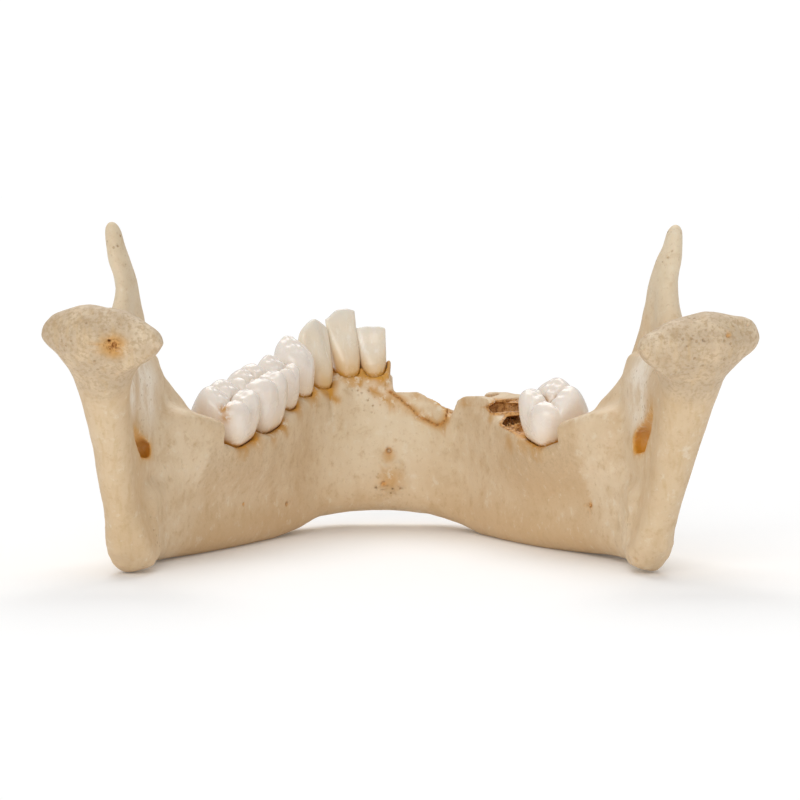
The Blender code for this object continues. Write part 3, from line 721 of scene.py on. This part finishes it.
def line_distance(points, u, v):
    """Distance to a row of points in a plane."""
    best = np.full(np.broadcast(u, v).shape, FAR)
    for (u0, v0), (u1, v1) in zip(points[:-1], points[1:]):
        du, dv = u1 - u0, v1 - v0
        share = np.clip(((u - u0) * du + (v - v0) * dv) / (du * du + dv * dv), 0.0, 1.0)
        best = np.minimum(best, np.hypot(u - u0 - share * du, v - v0 - share * dv))
    return best


def polygon_distance(points, u, v):
    """Distance to a closed outline in a plane, negative inside."""
    best = line_distance(points + points[:1], u, v)
    inside = np.zeros(best.shape, dtype=bool)
    for (u0, v0), (u1, v1) in zip(points, points[1:] + points[:1]):
        if v1 != v0:
            inside ^= ((v0 > v) != (v1 > v)) & (u < u0 + (v - v0) / (v1 - v0) * (u1 - u0))
    return np.where(inside, -best, best)


# The ends of the two condyles keep a crisp rim: its outline in X and Z, and the line
# that its middle follows in plan, as a Y, a slope and the X where it has that Y
HEADS = (
    (((-55.7, 41.0), (-55.1, 42.5), (-54.0, 43.9), (-52.4, 44.7), (-49.8, 45.4), (-46.0, 45.0),
      (-46.0, 40.0), (-50.0, 38.6), (-54.3, 39.6)), -21.6, -0.281, -52.6),
    (((-44.7, 45.3), (-42.5, 44.7), (-39.6, 43.4), (-37.7, 42.0), (-36.4, 40.8), (-35.9, 39.9),
      (-36.5, 39.1), (-37.8, 37.8), (-39.4, 36.6), (-42.5, 35.4), (-44.7, 38.0)),
     -21.6, -0.281, -52.6),
    (((39.8, 39.1), (40.4, 40.0), (42.4, 40.7), (44.4, 41.6), (46.0, 42.6), (47.4, 40.0),
      (46.0, 35.4), (44.4, 34.2), (42.8, 35.4), (41.2, 37.2)), -21.6, 0.26, 56.3),
    (((52.3, 44.2), (54.8, 44.1), (56.7, 43.9), (58.2, 43.4), (58.8, 42.6), (59.1, 40.7),
      (58.5, 39.8), (57.2, 38.5), (54.0, 38.6), (51.0, 41.0)), -21.6, 0.26, 56.3),
)
for rim, head_y, slope, head_x in HEADS:
    def head_tool(field, x, y, z):
        middle = head_y + slope * (x - head_x)
        slab = np.abs(y - middle) - 1.7
        return smooth_min(field, smooth_max(polygon_distance(rim, x, z) + 0.05, slab, 1.4), 1.2)

    work_in((min(point[0] for point in rim) - 2.0, -30.0, 31.0),
            (max(point[0] for point in rim) + 2.0, -14.0, 47.5), head_tool)

# Right of the middle the inner plate stands alone; the outer one has worn lower
INNER_PLATE = ((0.4, 68.8, 26.4), (0.9, 68.8, 25.9), (4.9, 68.5, 26.0), (6.6, 67.8, 25.2),
               (8.6, 66.4, 24.1), (10.5, 64.5, 22.3), (11.5, 63.2, 21.4), (12.2, 62.1, 22.6),
               (12.9, 61.0, 24.8), (14.2, 58.6, 25.7), (16.7, 52.9, 26.1), (18.1, 49.1, 25.9),
               (19.0, 46.4, 24.8))


def along_plate(x, y):
    """Distance in plan from the inner plate, and its height at the nearest place."""
    away = np.full(np.broadcast(x, y).shape, FAR)
    height = np.zeros(away.shape)
    for start, end in zip(INNER_PLATE[:-1], INNER_PLATE[1:]):
        du, dv = end[0] - start[0], end[1] - start[1]
        share = ((x - start[0]) * du + (y - start[1]) * dv) / (du * du + dv * dv)
        share = np.clip(share, 0.0, 1.0)
        gap = np.hypot(x - start[0] - share * du, y - start[1] - share * dv)
        height = np.where(gap < away, start[2] + share * (end[2] - start[2]), height)
        away = np.minimum(away, gap)
    return away, height


def worn_plate(field, x, y, z):
    away, height = along_plate(x, y)
    lowered = z - height + 0.4 + 0.38 * np.maximum(away - 0.9, 0.0)
    lowered = lowered - 7.0 * smooth_step((x - 16.5) / 2.5)
    lowered = np.where(x < 0.5, -9.0, lowered)
    field = smooth_max(field, lowered, 0.3)
    wall = np.maximum(away - 0.75, np.maximum(z - height, height - 5.0 - z))
    return smooth_min(field, wall, 0.4)


work_in((0.0, 44.0, 15.0), (26.0, 78.0, 29.5), worn_plate)

for entry, body in TEETH:
    def socket(field, x, y, z):
        along, out, up = in_tooth_axes(entry, x, y, z)
        shape = true_distance(body(entry, along, out, up), BONE_CELL)
        return np.maximum(field, SOCKET_GAP - shape)

    work_in(*tooth_box(entry), socket)

# Empty sockets of the right side with their spongy walls
for place in EMPTY_SOCKETS:
    def socket(field, x, y, z):
        wall, up = empty_socket(place, x, y, z, 0.0)
        return smooth_max(field, -np.where(up > 0.5, wall + 0.4 * (up - 0.5), wall), 0.3)

    work_in(*socket_box(place, 4.0), socket)
    sx, sy, top, width, depth, deep, heading = place
    row = (math.cos(math.radians(heading)), math.sin(math.radians(heading)))
    for a, b, c in random.uniform(-1.0, 1.0, (SOCKET_PITS, 3)):
        turn = math.atan2(b, a)
        reach_a = 0.5 * width * math.cos(turn) * 0.95
        reach_o = 0.5 * depth * math.sin(turn) * 0.95
        drill((sx + reach_a * row[0] + reach_o * row[1],
               sy + reach_a * row[1] - reach_o * row[0],
               top - 1.0 - (c + 1.0) * 0.42 * deep), random.uniform(0.3, 0.6))

# Two broken windows in the right first molar's inner plate show the spongy bone.
# Each is drawn in X and Z at one depth, and sinks on its way behind it.
WINDOW_Y, WINDOW_SLOPE = 45.0, 0.07
WINDOWS = (
    (((17.7, 24.6), (19.0, 25.5), (23.8, 25.2), (24.2, 24.1), (18.4, 23.6)), 42.0, 52.0),
    (((20.0, 21.6), (21.0, 22.9), (24.6, 23.4), (25.2, 20.3), (22.4, 20.2)), 38.0, 46.5),
)
INNER_FACE = ((16.0, 18.0, 20.0, 22.0, 24.0, 26.0), (52.5, 47.0, 41.0, 37.0, 33.5, 30.0))
for border, near, far in WINDOWS:
    def window(field, x, y, z):
        hole = polygon_distance(border, x, z + WINDOW_SLOPE * (y - WINDOW_Y))
        hole = np.maximum(hole, np.maximum(near - 14.0 - y, y - far - 4.0))
        sponge = (np.sin(6.1 * x + 2.3 * z) * np.sin(6.7 * z - 1.9 * x)
                  * np.sin(5.3 * y + 1.1 * z))
        return smooth_max(field, -np.maximum(hole, -1.3 - 0.8 * sponge - field), 0.15)

    work_in((15.0, 26.0, 17.0), (28.0, 56.0, 28.0), window)
    low, high = np.min(border, axis=0), np.max(border, axis=0)
    for a, b, c in random.uniform(0.0, 1.0, (WINDOW_PITS, 3)):
        pit_x = low[0] + a * (high[0] - low[0])
        pit_y = np.interp(pit_x, *INNER_FACE) + 1.6 + 1.6 * b
        pit_z = low[1] + c * (high[1] - low[1])
        if polygon_distance(border, pit_x, pit_z) < -0.1:
            drill((pit_x, pit_y, pit_z - WINDOW_SLOPE * (pit_y - WINDOW_Y)),
                  0.28 + 0.3 * abs(b - 0.5))

# Nerve openings inside each ramus, with the groove that leads down from them
NERVE_CANALS = (((-40.2, -9.0, 27.0, 1.1), (-40.8, -5.0, 23.8, 1.5), (-41.4, 0.0, 21.2, 1.6),
                 (-41.9, 5.5, 20.2, 1.45)),
                ((41.2, -10.0, 29.6, 1.3), (41.9, -5.0, 26.0, 2.1), (42.3, 0.0, 22.9, 2.3),
                 (42.7, 5.5, 21.5, 2.0)))
for stations in NERVE_CANALS:
    bore(stations)
for side, wide in SIDES:
    gouge(((side * (41.2 + wide), 12.0, 16.6), (side * (39.2 + wide), 15.4, 13.4),
           (side * (37.2 + wide), 18.6, 9.6)), 0.5, 0.9)

# Each angle of the jaw runs on into the lower border without a step
for side, wide in ((-1.0, 0.0), (1.0, 1.2)):
    for place_y, inwards in ((4.0, 41.6), (8.0, 41.4), (12.0, 41.0), (16.0, 40.4), (20.0, 39.6)):
        for place_z in (3.7, 7.5, 11.5):
            knob((side * (inwards + wide), place_y, place_z), 2.4, 2.0)

    def lower_edge(field, x, y, z):
        rise = np.minimum(0.32 * (43.6 + 0.8 * wide - side * x), 1.3)
        return smooth_max(field, rise - 0.2 * np.maximum(y - 6.0, 0.0) - z, 0.8)

    near_x, far_x = sorted((side * 35.0, side * 52.0))
    work_in((near_x, -12.0, -4.0), (far_x, 16.0, 6.0), lower_edge)

# Small openings and pits of the inner face, rust pits of the left condyle last
drill((-0.4, 67.6, 14.8), 0.5, 2.4)
drill((-1.4, 66.5, 8.7), 0.42, 2.0)
for place, radius in (((-8.7, 65.3, 9.5), 0.34), ((-18.9, 51.1, 6.5), 0.4),
                      ((-17.0, 55.2, 5.2), 0.34), ((-19.0, 51.5, 3.6), 0.3),
                      ((-26.3, 36.0, 8.0), 0.3), ((34.8, 20.0, 9.4), 0.36),
                      ((15.3, 56.8, 3.0), 0.32), ((-38.3, 12.1, 16.9), 0.4),
                      ((-35.4, 15.2, 16.5), 0.4), ((-37.5, 12.8, 14.8), 0.34),
                      ((54.0, -26.4, 41.2), 0.34), ((57.4, -23.2, 42.8), 0.34),
                      ((41.1, -2.7, 2.5), 0.5), ((-45.8, -20.1, 33.1), 0.35),
                      ((-43.8, -27.5, 39.9), 0.42), ((-44.6, -27.5, 40.5), 0.34),
                      ((-43.1, -27.4, 39.0), 0.36), ((-44.5, -27.4, 39.1), 0.26)):
    drill(place, radius)

# Genial spines and the rough field below them at the back of the chin
for a, b, c in random.uniform(-1.0, 1.0, (46, 3)):
    knob((-0.1 + 2.6 * a * abs(c), 67.45 + 0.25 * b, 10.4 + 3.0 * c * abs(a)),
         random.uniform(0.3, 0.5), 0.6)
for a, b, c in random.uniform(-1.0, 1.0, (30, 3)):
    drill((-0.6 + 2.6 * a, 67.2 + 0.3 * b, 6.2 + 1.8 * c), random.uniform(0.2, 0.4))

# Scratches under and on the right condyle
for step in range(5):
    gouge(((43.4 + 0.6 * step, -24.0 - 0.4 * step, 35.6),
           (43.0 + 0.6 * step, -24.6, 36.8)), 0.2, 0.2)
gouge(((48.3, -13.1, 21.6), (51.0, -12.4, 23.4)), 0.22, 0.2)
gouge(((49.6, -27.2, 40.2), (51.0, -27.2, 41.0)), 0.2, 0.2)

# Crack and loose flake of the inner plate right of the middle
CRACK = ((-0.2, 25.8), (1.6, 24.6), (3.0, 23.4), (4.1, 22.5), (5.3, 21.2), (7.0, 20.5),
         (8.4, 19.8), (9.4, 20.0), (10.2, 20.9), (10.5, 22.4))
OUTER_PLATE_Y = 70.5


def crack(field, x, y, z):
    flake = polygon_distance(CRACK + ((8.0, 26.0), (2.0, 27.0)), x, z)
    field = field + 0.16 * smooth_step(0.5 - flake / 0.3) * (y < OUTER_PLATE_Y)
    slit = np.maximum(line_distance(CRACK, x, z) - 0.13, -0.42 - field)
    return np.where(y < OUTER_PLATE_Y, np.maximum(field, -slit), field)


work_in((-2.0, 60.0, 18.0), (12.5, 72.0, 29.0), crack)

dry_bone = skin_of("dry_jawbone", bone, bone_low, BONE_CELL, BONE_FACES)


def lattice_noise(points, size, seed):
    """Smooth random hills about as wide as size, from -1 to 1."""
    cells = 32
    grid = np.random.default_rng(seed).uniform(-1.0, 1.0, (cells, cells, cells))
    spot = points / size + 100.0
    cell = np.floor(spot).astype(int)
    share = smooth_step(spot - cell)
    total = np.zeros(len(points))
    for corner in range(8):
        offset = np.array([(corner >> bit) & 1 for bit in range(3)])
        ids = (cell + offset) % cells
        weight = np.prod(np.where(offset, share, 1.0 - share), axis=1)
        total += weight * grid[ids[:, 0], ids[:, 1], ids[:, 2]]
    return total


def away_from(points, place):
    return np.sqrt(((points - np.array(place)) ** 2).sum(axis=1))


# Uneven growth of the surface, stronger where muscles pulled on it
points = vectors_of(dry_bone.data, "co")
facing = vectors_of(dry_bone.data, "normal")
lift = 0.10 * lattice_noise(points, 7.0, 1) + 0.05 * lattice_noise(points, 2.6, 2) \
    + 0.025 * lattice_noise(points, 1.1, 3)
angle_marks = np.zeros(len(points))
for side in (-1.0, 1.0):
    near = away_from(points * (1.0, 0.7, 0.9), (side * 44.0, 2.0, 5.0))
    angle_marks = np.maximum(angle_marks, 1.0 - smooth_step((near - 4.0) / 8.0))
ridges = lattice_noise(points * (1.0, 1.0, 0.55), 1.9, 4)
lift = lift + angle_marks * (0.22 * ridges + 0.12 * lattice_noise(points, 0.9, 5))
on_table = smooth_step((points[:, 2] - 0.25) / 1.2)
points = points + facing * (lift * on_table)[:, None]
points[:, 2] = np.maximum(points[:, 2], 0.0)
dry_bone.data.vertices.foreach_set("co", points.astype(np.float32).ravel())
dry_bone.data.update()

def patch(place, core, fade):
    """A round stain: full out to core, gone a fade further out."""
    return 1.0 - smooth_step((away_from(points, place) - core) / fade)


# Where the stains and tones lie, and the painted light and shade
x, y, z = points.T
NO_TOOTH = 9.0
margin = np.full(len(points), NO_TOOTH)
for entry, body in TEETH:
    along, out, up = in_tooth_axes(entry, x, y, z)
    near = body(entry, along, out, up)
    beside = np.hypot(along, out) < 0.5 * max(entry[7], entry[8]) + 3.0
    margin = np.minimum(margin, np.where(beside & (up > -2.6) & (up < 4.0), near, NO_TOOTH))
rough_edge = lattice_noise(points, 1.6, 6)
stain = 1.0 - smooth_step((margin + 0.5 * rough_edge) / 2.0)
neck_rim = 1.0 - smooth_step((margin - 0.35 + 0.4 * rough_edge) / 0.5)
neck_rim = neck_rim * smooth_step((lattice_noise(points, 3.1, 7) + 0.15) / 0.35)
rust = np.zeros(len(points))
for sx, sy, top, width, depth, deep, heading in EMPTY_SOCKETS:
    inside = 1.0 - smooth_step((np.hypot(x - sx, y - sy) - 0.42 * depth) / 1.0)
    inside = inside * (z < top + 0.6) * (z > top - deep - 1.0) * (np.abs(facing[:, 2]) < 0.9)
    rust = np.maximum(rust, 0.8 * inside * smooth_step((top + 0.3 - z) / 1.4))
for border, _, _ in WINDOWS:
    hole = polygon_distance(border, x, z + WINDOW_SLOPE * (y - WINDOW_Y))
    behind_face = y - np.interp(x, *INNER_FACE)
    inside = 1.0 - smooth_step((hole - 0.3 - 0.02 * np.maximum(behind_face, 0.0)) / 0.35)
    inside = inside * (behind_face > -3.0) * (behind_face < 24.0)
    not_outer = 0.89 * facing[:, 0] + 0.46 * facing[:, 1] < 0.4
    rust = np.maximum(rust, inside * not_outer * (x > 17.0))
amber_stain_and_painted_glow = 0.85 * neck_rim
# Inside the nerve openings the amber is a painted glow of light shining through the thin bone,
# stronger lower down in each opening
for stations in NERVE_CANALS:
    for start, end, strength in zip(stations[:-1], stations[1:], (0.35, 0.8, 1.0)):
        for share in np.linspace(0.0, 1.0, 6):
            spot = np.array(start) + share * (np.array(end) - np.array(start))
            depth = 0.2 + 0.8 * smooth_step((spot[2] + 5.0 - z) / 7.0)
            amber_stain_and_painted_glow = np.maximum(amber_stain_and_painted_glow, strength * patch(spot[:3], spot[3] - 0.1, 0.9) * depth)
            stain = np.maximum(stain, 0.6 * patch(spot[:3], spot[3], 1.4))
for place, size in (((-0.4, 67.6, 14.8), 0.8), ((-1.4, 66.5, 8.7), 0.7),
                    ((-43.9, -27.5, 39.8), 1.3), ((54.0, -25.8, 41.2), 0.7),
                    ((34.8, 20.0, 9.4), 0.7), ((-18.9, 51.1, 6.5), 0.6),
                    ((25.9, 28.6, 19.6), 1.6), ((-26.3, 36.0, 8.0), 0.4)):
    rust = np.maximum(rust, patch(place, 0.3 * size, size))
for place, size in (((-43.9, -27.2, 39.6), 3.4), ((-0.4, 67.6, 13.8), 2.0),
                    ((0.0, 67.0, 9.6), 3.4), ((-45.8, -20.1, 33.1), 0.8),
                    ((-17.0, 58.0, 24.6), 2.6), ((-13.2, 63.4, 25.4), 2.4),
                    ((21.6, 38.0, 18.6), 2.6), ((18.2, 46.6, 22.4), 1.8),
                    ((24.4, 33.0, 18.4), 2.0), ((-33.6, 26.4, 22.4), 2.6),
                    ((34.0, 26.4, 22.4), 2.2), ((4.6, 67.4, 25.4), 2.0),
                    ((13.6, 58.6, 24.6), 1.6), ((-1.0, 67.8, 27.2), 2.4)):
    stain = np.maximum(stain, 0.7 * patch(place, 0.0, size))
inner_face = smooth_step((0.3 - facing[:, 1]) / 0.4) * (y > 55.0) * (z > 14.0)
stain_lines = (((-10.8, 28.3), (-12.6, 26.6), (-11.4, 25.6), (-10.0, 24.4)),
               ((-3.8, 26.4), (-1.2, 24.6), (0.6, 23.2), (2.2, 22.2)),
               ((-5.4, 28.6), (-5.8, 27.2)), ((-0.6, 28.2), (-1.0, 27.0)),
               ((1.0, 26.6), (5.0, 26.6), (8.2, 24.6), (10.4, 22.6)))
for line in stain_lines:
    stain = np.maximum(stain, 0.9 * inner_face * hill(line_distance(line, x, z), 0.0, 0.7))
crack_away = line_distance(CRACK, x, z)
crack_line = hill(crack_away, 0.0, 0.26) * inner_face
halo = hill(crack_away, 0.0, 0.6) - hill(crack_away, 0.0, 0.4)
amber_stain_and_painted_glow = np.maximum(amber_stain_and_painted_glow, 0.4 * halo * inner_face)
stain = np.maximum(stain, 0.8 * hill(crack_away, 0.0, 0.75) * inner_face)
rust_pit = (-43.8, -27.3, 39.6)
amber_stain_and_painted_glow = np.maximum(amber_stain_and_painted_glow, 0.4 * patch(rust_pit, 0.9, 1.8))
rust = np.maximum(rust, 0.9 * patch(rust_pit, 0.5, 0.8))
# A chalky patch behind the incisors; the broad pale patches on the inner faces of the rami are
# painted light, brightening where shade falls
chalk_and_painted_light = 0.75 * hill(x, -2.0, 3.4) * hill(z, 27.0, 3.0) * inner_face
for place, size in (((-41.0, 6.0, 31.0), 10.0), ((42.0, 6.0, 31.0), 11.0),
                    ((-42.0, -6.0, 31.0), 6.0)):
    chalk_and_painted_light = np.maximum(chalk_and_painted_light, patch(place, 0.3 * size, 0.7 * size))
grey = np.zeros(len(points))
for place in ((-46.0, -23.0, 40.0), (49.0, -23.0, 39.0)):
    head = away_from(points * (0.6, 1.0, 0.8), (0.6 * place[0], place[1], 0.8 * place[2]))
    grey = np.maximum(grey, 1.0 - smooth_step((head - 5.5) / 4.5))
grey = np.maximum(grey, 0.45 * hill(np.abs(x), 27.0, 8.0) * hill(z, 17.0, 5.0) * (y > 20.0))
# A pale tone at the middle of the chin; the lightening high up on the rami in front of the
# condyles is painted light, and so is the slight lightening of the faces turned to the back
pale_and_painted_light = hill(x, 0.0, 13.0) * hill(z, 19.0, 9.0) * smooth_step((y - 50.0) / 12.0)
pale_and_painted_light = np.maximum(pale_and_painted_light, 0.8 * smooth_step((z - 38.0) / 8.0) * smooth_step((y - 2.0) / 5.0))
# Faces turned to the back of the jaw near the rami: they carry the fibre streaks and a little
# painted light
back_edge = smooth_step((-facing[:, 1] - 0.1) / 0.6) * smooth_step((6.0 - y) / 8.0)
pale_and_painted_light = np.maximum(pale_and_painted_light, 0.2 * back_edge)
# Tan tone on the sides of the body; the darkening low on the body and on the rear faces under
# the condyles is painted shade
tan_and_painted_shade = (smooth_step((14.0 - z) / 12.0) * smooth_step((y - 6.0) / 20.0)
       * (1.0 - 0.6 * hill(x, 0.0, 17.0)))
tan_and_painted_shade = np.maximum(tan_and_painted_shade, hill(x, 29.0, 10.0) * hill(z, 13.0, 8.0) * (y > 20.0))
tan_and_painted_shade = np.maximum(tan_and_painted_shade, 0.45 * hill(x, -27.0, 9.0) * hill(z, 13.0, 8.0) * (y > 20.0))
tan_and_painted_shade = np.maximum(tan_and_painted_shade, 0.6 * smooth_step((8.0 - y) / 12.0) * smooth_step((44.0 - z) / 9.0))
porous = np.zeros(len(points))
for place, size in (((-41.5, 2.0, 31.0), 12.0), ((42.5, 2.0, 31.0), 12.0),
                    ((-43.0, 3.0, 5.0), 7.0), ((44.0, 3.0, 5.0), 7.0),
                    ((-3.0, 67.6, 26.6), 6.0), ((-47.0, -23.0, 41.0), 9.0),
                    ((50.0, -23.0, 41.0), 9.0), ((-44.5, 11.0, 55.0), 6.0),
                    ((46.0, 11.0, 55.0), 6.0), ((0.0, 67.0, 8.0), 5.0)):
    porous = np.maximum(porous, patch(place, 0.4 * size, 0.6 * size))
for name, values in (("stain", stain), ("rust", np.maximum(rust, 0.75 * crack_line)),
                     ("pale_and_painted_light", pale_and_painted_light), ("tan_and_painted_shade", tan_and_painted_shade), ("porous", porous),
                     ("streaks", back_edge), ("amber_stain_and_painted_glow", amber_stain_and_painted_glow), ("chalk_and_painted_light", chalk_and_painted_light),
                     ("grey", grey)):
    mark(dry_bone.data, name, values)

bone_stuff, tree, shader = new_material("dry_bone")
clouds = mottle(tree, 60.0, 5.0, 0.6)
patches = mottle(tree, 260.0, 5.0, 0.62)
grain = mottle(tree, 1400.0, 4.0, 0.65)
fibres = mottle(tree, 900.0, 4.0, 0.6, (1.0, 0.5, 0.12))
blotches = mottle(tree, 520.0, 5.0, 0.68)
holes = node(tree, "ShaderNodeTexVoronoi")
holes.inputs["Scale"].default_value = 900.0
place = node(tree, "ShaderNodeTexCoord")
tree.links.new(place.outputs["Object"], holes.inputs["Vector"])
dots = times(tree, ramp(tree, holes.outputs["Distance"], 0.26, 0.12),
             on_mark(tree, "porous", patches, 0.42, 0.58))
whitened = times(tree, ramp(tree, blotches, 0.44, 0.30, 0.4),
                 calc(tree, "SUBTRACT", 1.0, times(tree, marked(tree, "grey"), 0.8)))
rust_tone = tint(tree, ramp(tree, grain, 0.44, 0.6), (0.66, 0.34, 0.10), (0.34, 0.14, 0.03))

# Tones, painted light and painted shade laid over the plain bone in turn, the last one on top
colour = tint(tree, ramp(tree, clouds, 0.36, 0.64), (0.70, 0.53, 0.34), (0.79, 0.64, 0.45))
for share, tone in (
        (ramp(tree, patches, 0.46, 0.7, 0.6), (0.62, 0.44, 0.25)),
        # tan tone, with painted shade low on the body and under the condyles
        (times(tree, marked(tree, "tan_and_painted_shade"), 0.9), (0.62, 0.42, 0.22)),
        # pale tone of the chin, with painted light high on the rami and on the rear faces
        (times(tree, marked(tree, "pale_and_painted_light"), 0.7), (0.78, 0.67, 0.49)),
        # chalky patch behind the incisors, with painted light on the inner faces of the rami
        (on_mark(tree, "chalk_and_painted_light", patches, 0.3, 0.56), (0.90, 0.80, 0.66)),
        (on_mark(tree, "grey", patches, 0.25, 0.6, 0.85), (0.56, 0.43, 0.29)),
        (on_mark(tree, "streaks", fibres, 0.48, 0.72, 0.6), (0.60, 0.42, 0.22)),
        (ramp(tree, blotches, 0.54, 0.72, 0.42), (0.56, 0.38, 0.20)),
        (whitened, (0.82, 0.74, 0.60)),
        (on_mark(tree, "grey", grain, 0.46, 0.62, 0.6), (0.46, 0.32, 0.18)),
        (on_mark(tree, "stain", blotches, 0.34, 0.48), (0.56, 0.27, 0.04)),
        (times(tree, dots, 0.8), (0.40, 0.24, 0.10)),
        (ramp(tree, grain, 0.55, 0.75, 0.4), (0.50, 0.34, 0.18)),
        # amber stain at the tooth necks, the crack and the rust pit, and a painted glow inside
        # the nerve openings
        (marked(tree, "amber_stain_and_painted_glow"), (0.66, 0.31, 0.03)),
        (on_mark(tree, "rust", grain, 0.2, 0.42), rust_tone)):
    colour = tint(tree, share, colour, tone)
relief = calc(tree, "ADD", times(tree, 0.5, blotches), times(tree, 0.3, grain))
relief = calc(tree, "ADD", relief, times(tree, 0.25, fibres))
relief = calc(tree, "SUBTRACT", relief, dots)
rough = calc(tree, "ADD", 0.42, times(tree, 0.24, patches))
finish_surface(tree, colour, rough, relief, 0.6, 0.0003)
set_inputs(shader, {"Subsurface Weight": 0.06, "Subsurface Radius": (1.0, 0.55, 0.28),
                    "Subsurface Scale": 0.0014, "Specular IOR Level": 0.4})

dry_bone.data.materials.append(bone_stuff)
dry_bone.data.transform(Matrix.Scale(MM, 4) @ Matrix.Translation(ZERO_POINT))
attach(dry_bone, "root")
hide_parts("jawbone")

# White table, soft studio light and the camera behind and a little above the jaw.
table_mesh = bpy.data.meshes.new("table")
work = bmesh.new()
bmesh.ops.create_grid(work, x_segments=1, y_segments=1, size=6.0)
work.to_mesh(table_mesh)
work.free()
table = put("table", table_mesh)
white, _, white_shader = new_material("white_table")
set_inputs(white_shader, {"Base Color": (0.98, 0.98, 0.98, 1.0), "Roughness": 0.8,
                          "Emission Color": (1.0, 1.0, 1.0, 1.0), "Emission Strength": 0.05})
table_mesh.materials.append(white)

# The camera sees a brighter backdrop than the one that lights the bone
sky = bpy.data.worlds.new("studio")
bpy.context.scene.world = sky
sky.use_nodes = True
tree = sky.node_tree
wash = tree.nodes["Background"]
backdrop = node(tree, "ShaderNodeBackground")
set_inputs(wash, {"Color": (1.0, 1.0, 1.0, 1.0), "Strength": 0.5})
set_inputs(backdrop, {"Color": (1.0, 1.0, 1.0, 1.0), "Strength": 1.1})
chooser = node(tree, "ShaderNodeMixShader")
rays = node(tree, "ShaderNodeLightPath")
for place, source in enumerate((rays.outputs["Is Camera Ray"], wash.outputs[0],
                                backdrop.outputs[0])):
    tree.links.new(source, chooser.inputs[place])
tree.links.new(chooser.outputs[0], tree.nodes["World Output"].inputs[0])


def soft_sun(name, tilt, turn, strength, width):
    """A wide, far light: tilt from straight above, turn about the upright."""
    light = bpy.data.lights.new(name, "SUN")
    light.energy = strength
    light.angle = math.radians(width)
    lamp = put(name, light)
    lamp.rotation_euler = (math.radians(tilt), 0.0, math.radians(turn))


soft_sun("overhead", -30.0, 4.0, 1.35, 50.0)
soft_sun("towards_the_chin", 66.0, -12.0, 0.9, 40.0)

camera_data = bpy.data.cameras.new("camera")
camera_data.sensor_width = 36.0
camera_data.lens = 155.0
camera_data.clip_start = 0.01
camera_data.clip_end = 20.0
camera = put("camera", camera_data)
camera.location = (Vector((1.7, -575.0, 69.3)) + ZERO_POINT) * MM
camera.rotation_euler = (math.radians(86.0), 0.0, 0.0)
bpy.context.scene.camera = camera
bpy.context.scene.view_settings.view_transform = "Standard"
